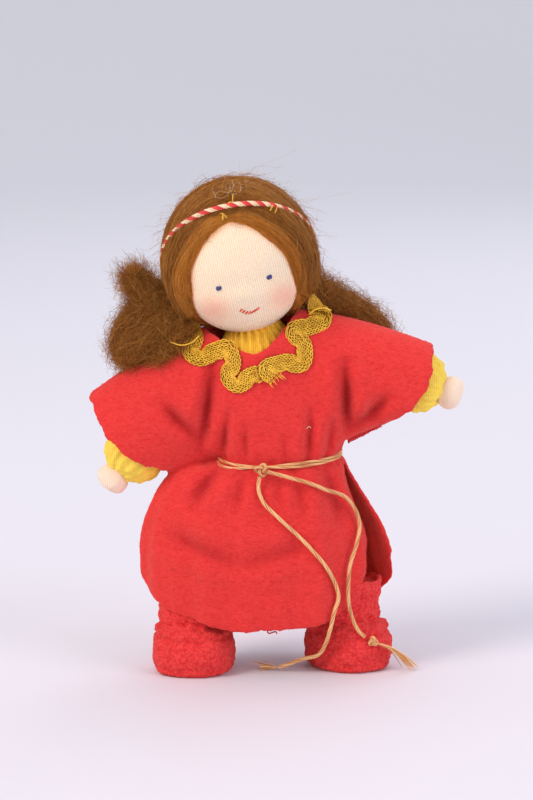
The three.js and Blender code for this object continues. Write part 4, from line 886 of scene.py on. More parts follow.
def hem_outline(centre, half, shares):
    """What is cut off below a hem, slightly ragged along it."""
    waist = WAIST[2]
    line = spline([(centre + x * half, waist - z * SKIRT_LENGTH, 0) for x, z in shares], 130)[:, :2]
    line[:, 1] += 0.2 * np.sin(line[:, 0] * 2.1) + 0.14 * np.sin(line[:, 0] * 4.7 + 1)
    low = waist - SKIRT_LENGTH - 8
    return [*map(tuple, line), (centre + half + 4, low), (centre - half - 4, low)]


def tunic_solid():
    """The felt as one closed shape: hollow, open at neck, sleeves and hem, and slit at the skirt's sides."""
    whole = outward(tunic_body("tunic", 0, 0))
    for side in SIDES:
        cut(whole, outward(tunic_sleeve("part", side, 0, 0)), "UNION")
    inner = outward(tunic_body("inner", FELT, 8))
    for side in SIDES:
        cut(inner, outward(tunic_sleeve("part", side, FELT, 4)), "UNION")
    cut(whole, inner, "DIFFERENCE")
    # Felt that the hollow takes away where the skirt spreads, nearly level, over the hip on the doll's right
    lowered = outward(tunic_body("part", FELT, 8))
    set_places(lowered, places(lowered) - [0, 0, FELT])
    hip = cut(outward(tunic_body("hip", 0, 0)), lowered, "DIFFERENCE")
    cut(hip, prism([(-60, 42), (-13, 42), (-13, 57), (-60, 57)], -40, 40, False), "INTERSECT")
    cut(whole, hip, "UNION")
    brace = prism([(-60, 40), (-17, 40), (-17, 55.2), (-60, 55.2)], -1.7, 0.3, False)
    cut(whole, cut(outward(tunic_body("brace", 0, 0)), brace, "INTERSECT"), "UNION")
    for drop, low, high in ((8.0, -16.2, 0.0), (4.0, 0.0, 16.2)):
        dip = [(x * NECK_HALF, NECK_POINT - z * drop) for x, z in NECKLINE]
        edge = [(-NECK_HALF, NECK_POINT), *dip, (NECK_HALF, NECK_POINT)]
        line = spline([(x, z, 0) for x, z in edge], 40)[:, :2]
        outline = [(-NECK_HALF, NECK_POINT + 4), *map(tuple, line), (NECK_HALF, NECK_POINT + 4)]
        cut(whole, prism(outline, low, high, True), "DIFFERENCE")
    cut(whole, prism(hem_outline(-4.7, 29.85, FRONT_HEM), -20.2, 0.0, False), "DIFFERENCE")
    cut(whole, prism(hem_outline(1.1, 30.4, BACK_HEM), 0.0, 22.0, False), "DIFFERENCE")
    for outline in ([(0, 8), (60, 8), (60, 54), (0, 54)], [(0, 8), (0, 40), (-60, 40), (-60, 8)]):
        cut(whole, prism(outline, -0.7, 0.7, False), "DIFFERENCE")
    return whole


def press(verts, creases):
    """Presses creases into both faces of the front at once, and gives each place's painted shade, deeper in
    the deeper creases.
    """
    moved = verts.copy()
    painted_shade = np.zeros(len(verts))
    facing = smooth((-verts[:, 1] - 1.0) / 5)
    for x0, z0, x1, z1, depth, width in creases:
        a, b = np.array([x0, z0]), np.array([x1, z1])
        p = verts[:, [0, 2]] - a
        t = np.clip(p @ (b - a) / ((b - a) @ (b - a)), 0, 1)
        away = np.linalg.norm(p - t[:, None] * (b - a), axis=1)
        fade = facing * np.sin(np.pi * np.clip(0.12 + 0.8 * t, 0, 1))
        beside = 0.45 * bell(away - 2 * width, width)
        moved[:, 1] += fade * depth * (bell(away, width) - beside)
        # Painted shade: the felt's colour darkens along each crease
        painted_shade = np.maximum(painted_shade, fade * min(1.0, depth / 2) * bell(away / width, 0.7))
    return moved, painted_shade


def lean_x(p):
    return (p - WAIST) @ SIDE


def region_of(p):
    """The part of the tunic that a place belongs to: the body, a sleeve, a cuff or a side of the skirt, by
    how far out and how high it lies.
    """
    x = lean_x(p)
    names = np.full(len(p), "body", dtype=object)
    for side, sign in SIDES.items():
        names[sign * x > SLEEVE_FROM] = "sleeve_" + side
        names[sign * x > CUFF_FROM] = "cuff_" + side
        names[(p[:, 2] < SKIRT_BELOW) & (sign * (p[:, 0] - WAIST[0]) >= 0)] = "skirt_" + side
    return names


def sleeve_share(side, p):
    """A share for each place, from 0 to 1, rising out along the sleeve."""
    return smooth((SIDES[side] * lean_x(p) - SLEEVE_FROM) / 10)


def skirt_share(p):
    """A share for each place, from 0 to 1, rising down the skirt and out from its middle."""
    return smooth((SKIRT_BELOW - p[:, 2]) / 12) * smooth((np.abs(p[:, 0] - WAIST[0]) - 1.5) / 8)


def region_weights(region, p):
    """A share for each place, from 0 to 1, towards the second of its part's two bodies."""
    part, _, side = region.partition("_")
    if part == "sleeve":
        return sleeve_share(side, p)
    if part == "cuff":
        elbow, shoulder = joint_place("elbow_" + side), joint_place("shoulder_" + side)
        along = (p - elbow) @ unit(elbow - shoulder)
        return smooth(along / 9) * smooth((SIDES[side] * lean_x(p) - CUFF_FROM) / 5)
    return skirt_share(p)


def region_bodies(region):
    part, _, side = region.partition("_")
    return {
        "sleeve": ("torso", "upper_arm_" + side), "cuff": ("upper_arm_" + side, "forearm_" + side),
        "skirt": ("torso", "thigh_" + side),
    }[part]


def bend(obj, a, b, weights):
    """Bakes obj's transform into its mesh; bodies a and b and the weights are not used."""
    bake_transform(obj)
    return obj


def attach(obj, region):
    if region == "body":
        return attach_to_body(obj, "torso")
    return bend(obj, *region_bodies(region), region_weights(region, places(obj)))


def strands_on_tunic(name, batch, count, key):
    """Loose fibres that lie on the tunic, in one piece for each part of it."""
    verts, faces, tone, _ = batch
    size, each = len(verts) // count, len(faces) // count
    regions = region_of(verts.reshape(count, size, 3)[:, 0])
    for region in sorted(set(regions)):
        keep = regions == region
        picked = np.flatnonzero(np.repeat(keep, size))
        where = np.full(len(verts), -1)
        where[picked] = np.arange(len(picked))
        obj = make_mesh(
            f"{name}.{region}", verts[picked], where[faces[np.repeat(keep, each)]], tone=tone[picked],
        )
        paint(obj, key)
        attach(obj, region)


def copied(obj):
    other = obj.copy()
    other.data = obj.data.copy()
    bpy.context.scene.collection.objects.link(other)
    return other


# Where each part of the tunic starts and ends: above by the doll's leaning width, below by the floor's
UPPER_PARTS = {
    "body": (-SLEEVE_FROM, SLEEVE_FROM),
    "sleeve_right": (-CUFF_FROM, -SLEEVE_FROM),
    "cuff_right": (-80, -CUFF_FROM),
    "sleeve_left": (SLEEVE_FROM, CUFF_FROM),
    "cuff_left": (CUFF_FROM, 80),
}
LOWER_PARTS = {"skirt_right": (-80, WAIST[0]), "skirt_left": (WAIST[0], 80)}


def parted(whole):
    """The tunic's parts as closed pieces: the body, two lengths of each sleeve and two sides of the skirt."""
    pieces = {}
    above = [(-90, SKIRT_BELOW), (90, SKIRT_BELOW), (90, 150), (-90, 150)]
    for parts, operation, leans in ((UPPER_PARTS, "INTERSECT", True), (LOWER_PARTS, "DIFFERENCE", False)):
        half = cut(copied(whole), prism(above, -60, 60, False), operation)
        for region, (low, high) in parts.items():
            slab = prism([(low, -70), (high, -70), (high, 110), (low, 110)], -60, 60, leans)
            pieces[region] = cut(copied(half), slab, "INTERSECT")
            pieces[region].name = "tunic." + region
        bpy.data.objects.remove(half)
    return pieces


def keep_shading(pieces, verts, normals, painted_shade):
    """Gives the parts the whole cloth's normals, so that no seam shows, and the painted shade of its creases
    and gathers.
    """
    tree = KDTree(len(verts))
    for k, v in enumerate(verts):
        tree.insert(v, k)
    tree.balance()
    for piece in pieces.values():
        near = [tree.find(v)[1] for v in places(piece)]
        mesh = piece.data
        # The fold attribute carries the painted shade of the creases and gathers
        fold = mesh.attributes.new("fold", "FLOAT", "POINT")
        fold.data.foreach_set("value", (painted_shade[near] * 0.75).astype(np.float32))
        mesh.polygons.foreach_set("use_smooth", np.ones(len(mesh.polygons), bool))
        mesh.normals_split_custom_set_from_vertices(normals[near].tolist())


def belt_height(a):
    """Height of the belt's middle above the floor, round the waist."""
    return 57.5 - 2.7 * ((1 - np.sin(a)) / 2) ** 1.5 + 0.25 * np.cos(a)


def build_tunic(pitch):
    """The tunic as one even skin, with its creases, gathers and the felt's unevenness, and the painted shade
    that darkens the creases and gathers.
    """
    whole = remeshed(tunic_solid(), pitch)
    pairs = edge_list(whole)
    verts = relax(places(whole), pairs, 7)
    verts, painted_shade = press(verts, CREASES)
    verts = verts + ripples(verts, 11, 14) * [0.1, 0.34, 0.1] * smooth(np.abs(verts[:, 1:2]) / 4)
    around = verts - WAIST
    angle = np.arctan2(around[:, 1] / 0.7, around[:, 0])
    off_belt = verts[:, 2] - belt_height(angle)
    near = bell(off_belt, 1.9) * (np.abs(around[:, 0]) < 20)
    gather = 1 + 0.45 * np.sin(angle * 23 + 2 * np.sin(angle * 3)) * smooth(np.abs(off_belt) / 2)
    inward = unit(around * [1, 1.4, 0])
    verts = verts - inward * (near * gather * 1.2)[:, None]
    # Painted shade in the gathers over and under the belt
    painted_shade = np.maximum(painted_shade, 0.35 * near)
    set_places(whole, verts + ripples(verts, 21, 1.5) * 0.1)
    return whole, painted_shade


# The suit, hands, legs and boots

# The torso from the waist up and down: share of the height, then shares of half width and half depth
TORSO_HALF = (15.3, 8.6)
TORSO_ABOVE = [
    (0.95, 0.5, 0.72), (0.92, 0.58, 0.78), (0.76, 0.77, 0.92), (0.58, 0.88, 1.0), (0.38, 0.96, 1.04),
    (0.18, 0.99, 1.03),
]
TORSO_BELOW = [(0.42, 0.97, 0.97), (0.62, 0.76, 0.86), (0.8, 0.46, 0.66), (0.94, 0.2, 0.36)]


def torso_rings(grow):
    half, deep_half = TORSO_HALF
    rows = [(z * 28, lean_share_above(z), half * w, deep_half * d) for z, w, d in TORSO_ABOVE]
    rows.append((0, 0.5, half, deep_half))
    rows += [(-z * 19, lean_share_below(z), half * w, deep_half * d) for z, w, d in TORSO_BELOW]
    a = circle(72)
    rings = []
    for z, share, w, d in upsample(rows, 6):
        centre = leaning(0, 0, z, share)
        rings.append(hoop(centre, sideways(share), (w + grow) * np.cos(a), BACK, (d + grow) * np.sin(a)))
    return rings


def push_out(obj, depth):
    """Moves each of a mesh's points out along its normal."""
    set_places(obj, places(obj) + normals_of(obj) * depth[:, None])


def rumple(obj, seed, size, depth):
    """Moves a mesh's surface in and out by smooth noise."""
    push_out(obj, ripple(places(obj), seed, size) * depth)
    return obj


def build_suit():
    """The suit's padded body, and the pieces that go on its neck and limbs."""
    suit = paint(rumple(lofted("suit", torso_rings(-1.6)), 31, 6, 0.3), "jersey")
    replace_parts(suit, "suit_body", "torso_stuffing")
    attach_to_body(suit, "torso")
    build_collar()
    for side in SIDES:
        build_sleeve(side)
        build_hand(side)
        build_leg(side)
        build_boot(side)


# The collar from its edge down: height above the waist, half width, half depth and height of the gathers
COLLAR = [
    (35.2, 5.4, 5.2, 0.15), (34.0, 6.2, 6.0, 0.5), (32.4, 7.6, 7.2, 0.55), (30.4, 9.0, 8.7, 0.5),
    (28.0, 10.4, 9.9, 0.4), (25.5, 11.4, 10.2, 0.15),
]


def build_collar():
    """The suit's neck, drawn up on a thread into small uneven gathers."""
    sides = 288
    a = circle(sides)
    r = np.random.default_rng(5)
    wobble = sum(np.sin(a * k + r.uniform(0, 6.3)) * 0.5 / k for k in (3, 5, 7))
    rings = []
    for z, wide, deep, fold in upsample(COLLAR, 5):
        pleat = np.cos(a * 24 + wobble * 3 + z * 0.12)
        pleat = np.sign(pleat) * np.abs(pleat) ** 0.7
        out = fold * pleat * (0.75 + 0.4 * np.sin(a * 3 + z * 0.4))
        rings.append(leaning((wide + out) * np.cos(a), (deep + out) * np.sin(a), z + 0.25 * pleat * (z > 33)))
    outer = np.array(rings)
    inner = outer[::-1]
    inner = inner + unit(leaning(0, 0, 30) - inner) * 0.7
    verts = np.vstack([outer.reshape(-1, 3), inner.reshape(-1, 3)])
    faces = grid_faces(len(rings) * 2, sides)
    last = grid_faces(2, sides)
    seam = np.where(last < sides, last + (2 * len(rings) - 1) * sides, last - sides)
    obj = make_mesh("collar", verts, faces, seam)
    paint(rumple(obj, 33, 2.2, 0.12), "collar")
    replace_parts(obj, "suit_collar")
    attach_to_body(obj, "torso")


def limb_frame(direction):
    across = unit(np.cross(BACK, direction))
    return across, np.cross(direction, across)


def tube(name, start, direction, profile, sides=96, depth=1.0, pleats=None, seed=0):
    """A soft round limb: rows of distance along it and radius; pleats are from, to, count and height."""
    across, forth = limb_frame(direction)
    a = circle(sides)
    rings = []
    for along, radius in upsample(profile, 6):
        swell = 0.0
        if pleats:
            first, last, count, high = pleats
            strength = 0.0
            if first < along < last:
                strength = high * math.sin(math.pi * ((along - first) / (last - first))) ** 0.7
            swell = strength * np.cos(a * count + 2.0 * np.sin(a * 2 + seed) + 1.1 * np.sin(a * 5 + seed * 2))
        wide = (radius + swell) * np.cos(a)
        deep = (radius * depth + swell) * np.sin(a)
        rings.append(hoop(start + direction * along, across, wide, forth, deep))
    return lofted(name, rings)


def arm_of(side):
    shoulder, elbow = joint_place("shoulder_" + side), joint_place("elbow_" + side)
    return shoulder, elbow, unit(elbow - shoulder)


def build_sleeve(side):
    shoulder, elbow, along = arm_of(side)
    elbow_at = float((elbow - shoulder) @ along)
    profile = [
        (-4.5, 2.0), (-3.0, 4.6), (0, 5.5), (9, 5.7), (elbow_at, 5.6), (elbow_at + 5, 6.7),
        (elbow_at + 10, 7.5), (elbow_at + 13.5, 7.5), (elbow_at + 16.0, 6.3), (elbow_at + 17.2, 4.6),
        (elbow_at + 17.7, 4.0), (elbow_at + 17.4, 3.0), (elbow_at + 16.4, 2.6),
    ]
    obj = tube(
        "sleeve_" + side, shoulder, along, profile, depth=0.86,
        pleats=(elbow_at + 8, elbow_at + 19, 17, 0.42), seed=3 if side == "left" else 8,
    )
    verts = places(obj)
    run = (verts - shoulder) @ along
    flat = verts + along * (run * -0.55)[:, None]
    creases = ripple(flat, 41 + SIDES[side], 5.0) * 0.5 * smooth((run - elbow_at) / 6)
    push_out(obj, creases + ripple(verts, 47, 3.0, 2) * 0.12)
    paint(obj, "jersey")
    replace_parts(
        obj, "upper_sleeve_" + side, "lower_sleeve_" + side, "upper_arm_stuffing_" + side,
        "forearm_stuffing_" + side,
    )
    run = (places(obj) - elbow) @ along
    bend(obj, "upper_arm_" + side, "forearm_" + side, smooth((run + 3) / 6))


def build_hand(side):
    _, elbow, along = arm_of(side)
    wrist = elbow + along * 15.8
    profile = [(0, 2.7), (1.6, 3.0), (3.2, 4.0), (5.0, 4.3), (6.4, 3.75), (7.3, 2.4), (7.6, 0.8)]
    obj = tube("hand_" + side, wrist, along, profile, sides=56, depth=0.92)
    paint(rumple(obj, 51 + SIDES[side], 3.5, 0.13), "hand")
    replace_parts(obj, "hand_" + side)
    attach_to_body(obj, "forearm_" + side)


def leg_of(side):
    hip, knee = joint_place("hip_" + side), joint_place("knee_" + side)
    return hip, knee, 2 * knee - hip


def build_leg(side):
    hip, knee, ankle = leg_of(side)
    along = unit(ankle - hip)
    full = float(np.linalg.norm(ankle - hip))
    profile = [
        (-6.5, 2.5), (-4.5, 5.6), (0, 7.2), (full * 0.25, 7.4), (full * 0.5, 7.1), (full * 0.75, 7.2),
        (full, 7.0), (full + 1.0, 6.0), (full + 1.4, 3.0),
    ]
    obj = tube("leg_" + side, hip, along, profile, sides=72)
    paint(rumple(obj, 61 + SIDES[side], 4.5, 0.3), "jersey")
    names = [n + side for n in ("thigh_cover_", "shin_cover_", "thigh_stuffing_", "shin_stuffing_")]
    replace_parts(obj, *names)
    run = (places(obj) - knee) @ along
    bend(obj, "thigh_" + side, "shin_" + side, smooth((run + 4) / 8))


# A boot from the sole up: share of the height, then shares of half width, half length and shift back
BOOT_SHARES = [
    (0.0, 0.8, 0.82, 0.0), (0.02, 0.88, 0.9, 0.0), (0.08, 0.95, 0.96, 0.0), (0.28, 1.0, 1.0, 0.0),
    (0.5, 0.98, 0.96, 0.02), (0.66, 0.92, 0.86, 0.08), (0.78, 0.86, 0.77, 0.16), (0.9, 0.86, 0.77, 0.2),
    (1.1, 0.85, 0.78, 0.16), (1.36, 0.84, 0.79, 0.1), (1.4, 0.78, 0.74, 0.1), (1.33, 0.72, 0.68, 0.1),
]
BOOT_HIGH, BOOT_HALF, BOOT_LONG = 16.8, 10.5, 11.4  # height, half width and half length
BOOT_PLACES = {
    "right": (-20.3, -4.6, -8.0), "left": (20.2, 0.7, 38.0),
}  # x, y and the turn of the toe in degrees


def build_boot(side):
    x, y, turn = BOOT_PLACES[side]
    turn = math.radians(turn)
    toe = np.array([math.sin(turn), -math.cos(turn), 0.0])
    across = np.array([math.cos(turn), math.sin(turn), 0.0])
    a = circle(144)
    c, s = np.cos(a), np.sin(a)
    square = (np.abs(c) ** 2.3 + np.abs(s) ** 2.3) ** (-1 / 2.3)
    rings = []
    for height, width, length, shift in upsample(BOOT_SHARES, 7):
        z = max(0.0, height * BOOT_HIGH)
        place = np.array([x, y, z]) - toe * shift * BOOT_LONG
        wave = 0.32 * np.sin(a * 15 + 3 * np.sin(a + z)) * smooth((z - 8) / 4) * smooth((15.5 - z) / 2)
        front = smooth((s + 0.35) / 0.6)
        upper = bell(z - 9.0 - 1.2 * c**2, 0.65) * front
        lower = bell(z - 13.0 + 0.8 * c**2, 0.55)
        bulge = 0.55 * bell(z - 11.0, 1.1) + 0.35 * bell(z - 14.6, 0.9)
        out = wave - 0.75 * upper - 0.6 * lower + bulge - 0.35 * bell(z - 1.9, 0.35)
        wide = (BOOT_HALF * width * square + out) * c
        deep = (BOOT_LONG * length * square + out) * s
        rings.append(hoop(place, across, wide, toe, deep))
    obj = lofted("boot_" + side, rings)
    verts = places(obj)
    lumps = ripple(verts, 71 + SIDES[side], 5.5) * 0.45 + ripple(verts, 75, 1.4, 2) * 0.13
    push_out(obj, lumps * smooth(verts[:, 2] / 1.2))
    paint(obj, "plush")
    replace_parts(obj, "boot_" + side, "foot_stuffing_" + side)
    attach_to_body(obj, "shin_" + side)
    r = np.random.default_rng(77 + SIDES[side])
    fuzz = fuzz_on(obj, 4200, r, 0.75, 0.035, lift=0.2)
    loops = paint(strand_mesh("boot_nap_" + side, fuzz), "felt_fuzz")
    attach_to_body(loops, "shin_" + side)


def scatter(obj, count, r, keep=None):
    """Seeded random places on a mesh of quads and triangles, with the normal at each."""
    mesh = obj.data
    mesh.calc_loop_triangles()
    tri = np.empty(len(mesh.loop_triangles) * 3, np.int32)
    mesh.loop_triangles.foreach_get("vertices", tri)
    tri = tri.reshape(-1, 3)
    verts, normals = places(obj), normals_of(obj)
    p = verts[tri]
    area = np.linalg.norm(np.cross(p[:, 1] - p[:, 0], p[:, 2] - p[:, 0]), axis=1)
    if keep is not None:
        area = area * keep(p.mean(1), normals[tri].mean(1))
    pick = r.choice(len(tri), count, p=area / area.sum())
    u = r.random((count, 2))
    u = np.where(u.sum(1, keepdims=True) > 1, 1 - u, u)
    w = np.stack([1 - u.sum(1), u[:, 0], u[:, 1]], -1)[:, :, None]
    return (verts[tri[pick]] * w).sum(1), unit((normals[tri[pick]] * w).sum(1))


def drawn(roots, way, t, long):
    """Straight paths from roots along way, each as long as its own number."""
    return roots[:, None] + way[:, None] * (t * long[:, None])[..., None]


def fuzz_on(obj, count, r, length, radius, lift=0.35, keep=None, lay=(0, 0, 0), curl=0.5):
    """Short curling fibres scattered over a mesh; lay combs them one way."""
    roots, normals = scatter(obj, count, r, keep)
    side = unit(r.normal(size=(count, 3)) + np.asarray(lay, float))
    side = unit(side - normals * np.sum(side * normals, -1, keepdims=True))
    way = unit(side + normals * lift)
    long = length * r.uniform(0.4, 1.3, count)
    t = np.linspace(0, 1, 5 if curl < 1 else 9)
    swirl = unit(np.cross(way, normals))
    phase = r.uniform(0, 6.3, count)
    arch = np.sin(t * 2.4)[None] * long[:, None] * 0.25 * r.uniform(-0.6, 1, (count, 1))
    wave = np.sin(t[None] * 4 + phase[:, None]) * long[:, None] * curl * 0.3 * t
    paths = drawn(roots, way, t, long)
    paths += normals[:, None] * arch[..., None]
    paths += swirl[:, None] * wave[..., None]
    paths -= normals[:, None] * (0.05 * (1 - t))[None, :, None]
    return strands(paths, radius, 3, taper=0.6, tone=r.uniform(0, 1, count))


# Head and hair

# The hair's edge round the face: direction from the middle of the face and angle out from it, in degrees
HAIRLINE = [
    (-8, 54), (7, 49), (24, 45), (43, 43), (63, 44), (78, 46), (93, 49), (104, 46), (113, 44.5), (133, 45),
    (148, 47), (160, 48.5), (174, 50), (192, 54.5), (209, 66), (222, 80), (236, 98), (255, 112), (270, 118),
    (285, 112), (303, 92), (315, 74), (327, 68), (337, 62),
]
TIES = {"right": (95.0, 201.0), "left": (102.0, -19.0)}  # where each bunch leaves the cap, by its two angles


def hairline(phi):
    """The angle of the hair's edge from the middle of the face, in the direction phi."""
    degrees, angles = np.array(HAIRLINE, float).T
    start = degrees[0]
    turned = (np.asarray(phi) - start) % 360 + start
    return np.interp(turned, np.append(degrees, start + 360), np.append(angles, angles[0]))


def on_hair(theta, phi, over=0.0):
    """A place on the hair's surface: theta in degrees from the middle of the face, phi round it."""
    theta, phi = np.broadcast_arrays(np.asarray(theta, float), np.asarray(phi, float))
    t, p = np.radians(theta), np.radians(phi)
    d = np.stack([np.sin(t) * np.cos(p), -np.cos(t), np.sin(t) * np.sin(p)], -1)
    hair = np.linalg.norm(d / np.array(HAIR_HALF), axis=-1) ** -1
    skin = np.linalg.norm(d / np.array(HEAD_HALF), axis=-1) ** -1
    edge = hairline(phi)
    rise = np.clip((theta - edge) / 17, 0, 1) ** 0.55
    nape = smooth((theta - 60) / 30) * smooth((-d[..., 2] - 0.42) / 0.25)
    radius = mix(skin - 0.35, hair, rise)
    radius = mix(radius, skin + 1.4, nape * 0.75)
    part = bell(phi - 90, 4.5) * smooth((150 - theta) / 50)
    radius = radius - 0.2 * part + over
    p3 = d * radius[..., None]
    return on_head(p3[..., 0], p3[..., 1], p3[..., 2])


def build_face():
    """The head's skin with brow, cheeks and nose pressed in, and the neck."""
    rows, sides = 72, 128
    lat = np.linspace(-0.5, 0.5, rows + 2)[1:-1] * np.pi
    a = circle(sides)
    x, y = np.cos(lat)[:, None] * np.cos(a), np.cos(lat)[:, None] * np.sin(a)
    z = np.sin(lat)[:, None] * np.ones(sides)
    verts = np.stack([x * HEAD_HALF[0], y * HEAD_HALF[1], z * HEAD_HALF[2]], -1)
    front = smooth(-y / 0.5)
    across, up = verts[..., 0], verts[..., 2]
    eyeline = bell(up + 3.0, 2.6) * front
    cheeks = sum(bell(across - x, 5.0) * bell(up + 8.6, 4.5) for x in (-8.2, 8.8))
    nose = bell(across, 2.0) * bell(up + 6.0, 1.8)
    verts[..., 1] += front * (0.45 * eyeline - 0.55 * cheeks - 0.35 * nose)
    verts[..., 0] *= 1 + 0.02 * bell(up + 7, 6)
    rings = on_head(verts[..., 0], verts[..., 1], verts[..., 2])
    poles = np.array([[0, 0, -HEAD_HALF[2]], [0, 0, HEAD_HALF[2]]])
    ends = on_head(*poles.T)
    flat = np.vstack([verts.reshape(-1, 3), poles])
    across, _, up = flat.T
    spots = ((-8.6, -8.4), (10.0, -8.6))
    blush = sum(0.62 * bell(across - x, 4.3) * bell(up - z, 3.6) for x, z in spots)
    blush = blush + 0.1 * bell(across, 9) * bell(up - 5, 6)
    theta = np.degrees(np.arccos(np.clip(-flat[:, 1] / np.linalg.norm(flat, axis=1), -1, 1)))
    phi = np.degrees(np.arctan2(up, across))
    # Painted shade of the hair's edge on the skin, warm-toned
    glow = 0.9 * smooth((theta - hairline(phi) + 9) / 10) * smooth((up + 11) / 6)
    face = lofted("face", rings, ends[0], ends[1], blush=blush, glow=glow)
    paint(face, "skin")
    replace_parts(face, "head_skin", "head_core")
    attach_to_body(face, "head")
    profile = [(-0.5, 4.6), (0, 5.3), (6, 5.2), (9, 5.3), (11.5, 5.0), (12, 3.0)]
    neck = tube("neck", leaning(0, 0, 25), UP, profile, sides=48)
    paint(neck, "hand")
    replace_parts(neck, "neck_core")
    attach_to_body(neck, "neck")
    return face


def sewn(tree, starts, ends, radius, rise, r):
    """Small stitches on the face: from start to end (head x, z), arched over the cloth."""
    t = np.linspace(0, 1, 6)
    flat = mix(starts[:, None], ends[:, None], t[None, :, None])
    from_front = on_head(flat[..., 0], np.full(flat.shape[:2], -30.0), flat[..., 1]).reshape(-1, 3)
    hits, _, _ = dropped(tree, from_front)
    paths = hits.reshape(*flat.shape[:2], 3) - BACK * (rise * np.sin(np.pi * t) - 0.05)[None, :, None]
    return strands(paths, radius, 6, tone=r.uniform(0, 1, len(flat)))


# An eye's stitches: from x, z to x, z round its middle
EYE_STITCHES = [
    (-0.75, -0.1, 0.75, 0.12), (-0.6, 0.32, 0.62, 0.42), (-0.55, -0.42, 0.6, -0.3), (-0.42, 0.1, 0.45, -0.3),
    (-0.3, -0.1, 0.4, 0.42),
]
EYES = {"right": (-6.04, -3.04), "left": (7.08, -2.83)}


def build_features(face):
    """The eyes and the mouth, each of a few stitches."""
    r = np.random.default_rng(81)
    tree = tree_of(face)
    for side, middle in EYES.items():
        lines = np.array(EYE_STITCHES) * 0.85
        lines = lines + r.uniform(-0.07, 0.07, lines.shape)
        stitches = sewn(tree, lines[:, :2] + middle, lines[:, 2:] + middle, 0.24, 0.25, r)
        eye = strand_mesh("eye_" + side, stitches)
        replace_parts(paint(eye, "eye"), "eye_" + side)
        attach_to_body(eye, "head")
    arc = spline([(-1.6, -9.8, 0), (-0.3, -10.75, 0), (1.1, -10.9, 0), (2.7, -10.3, 0)], 7)[:, :2]
    lean = np.array([0.34, 0.27])
    mouth = strand_mesh("mouth", sewn(tree, arc - lean, arc + lean, 0.21, 0.2, r))
    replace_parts(paint(mouth, "mouth"), "mouth")
    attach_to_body(mouth, "head")


def build_cap():
    """The fleece on the head, from its edge round the face to the back."""
    phi = np.arange(0, 360, 2.0)
    rings = []
    for s in np.linspace(0, 1, 60) ** 1.3:
        rings.append(on_hair(mix(hairline(phi), 176, s), phi))
    outer = lofted("hair", rings)
    verts = places(outer)
    push_out(outer, ripple(verts * [1, 1, 0.45], 91, 4.5) * 0.35)
    paint(outer, "fleece")
    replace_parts(outer, "hair_cap")
    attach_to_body(outer, "head")
    return outer


def combed(side, count, r, reach=1.0, radius=0.06, lead=0.0):
    """Strands combed from the parting round the head to the tie; reach is how far back they start."""
    tie_theta, tie_phi = TIES[side]
    if side == "left":
        tie_phi = 180 - tie_phi
    t = np.linspace(0, 1, 28)
    s = r.random(count) ** 1.25 * reach
    middle_edge, low_edge = hairline([150, 214] if side == "right" else [30, -34])
    jitter, tie_jitter = r.normal(0, 1.0, (count, 2)).T
    thetas = [
        mix(hairline(90) + 0.5, 168, s),
        mix(middle_edge + 1.5, 150, s),
        mix(low_edge + 1.0, 112, s) + jitter,
        tie_theta + jitter * 3,
    ]
    phis = [
        90.0 + r.normal(3, 7, count), np.full(count, 146.0), mix(212.0, 190.0, s), tie_phi + tie_jitter * 3,
    ]
    knots = np.array([0, 0.42, 0.82, 1.0])

    def through(values):
        """Each strand's value at every t, on a smooth curve through its four."""
        out = np.empty((count, len(t)))
        for i, x in enumerate(t):
            k = min(2, int(np.searchsorted(knots, x, "right") - 1))
            a, b = values[k], values[k + 1]
            before = values[k - 1] if k else 2 * a - b
            after = values[k + 2] if k < 2 else 2 * b - a
            out[:, i] = eased(before, a, b, after, (x - knots[k]) / (knots[k + 1] - knots[k]))
        return out

    theta, phi = through([values - lead for values in thetas]), through(phis)
    wander = np.cumsum(r.normal(0, 0.55, (count, len(t))), 1)
    theta = theta + wander * np.sin(np.pi * t) ** 0.5
    if side == "left":
        phi = 180 - phi
    over = 0.08 + r.random(count)[:, None] * 0.5 + 0.3 * np.abs(
        r.normal(0, 1, (count, 1))
    ) * np.sin(np.pi * t)
    paths = on_hair(theta, phi, over)
    lock = 0.5 + 0.12 * np.sin(s * 40 + 2 * np.sin(s * 17))
    tone = np.clip(lock + r.normal(0, 0.17, count), 0, 1)
    return strands(paths, radius * r.uniform(0.6, 1.3, count), 3, taper=0.5, tone=tone)


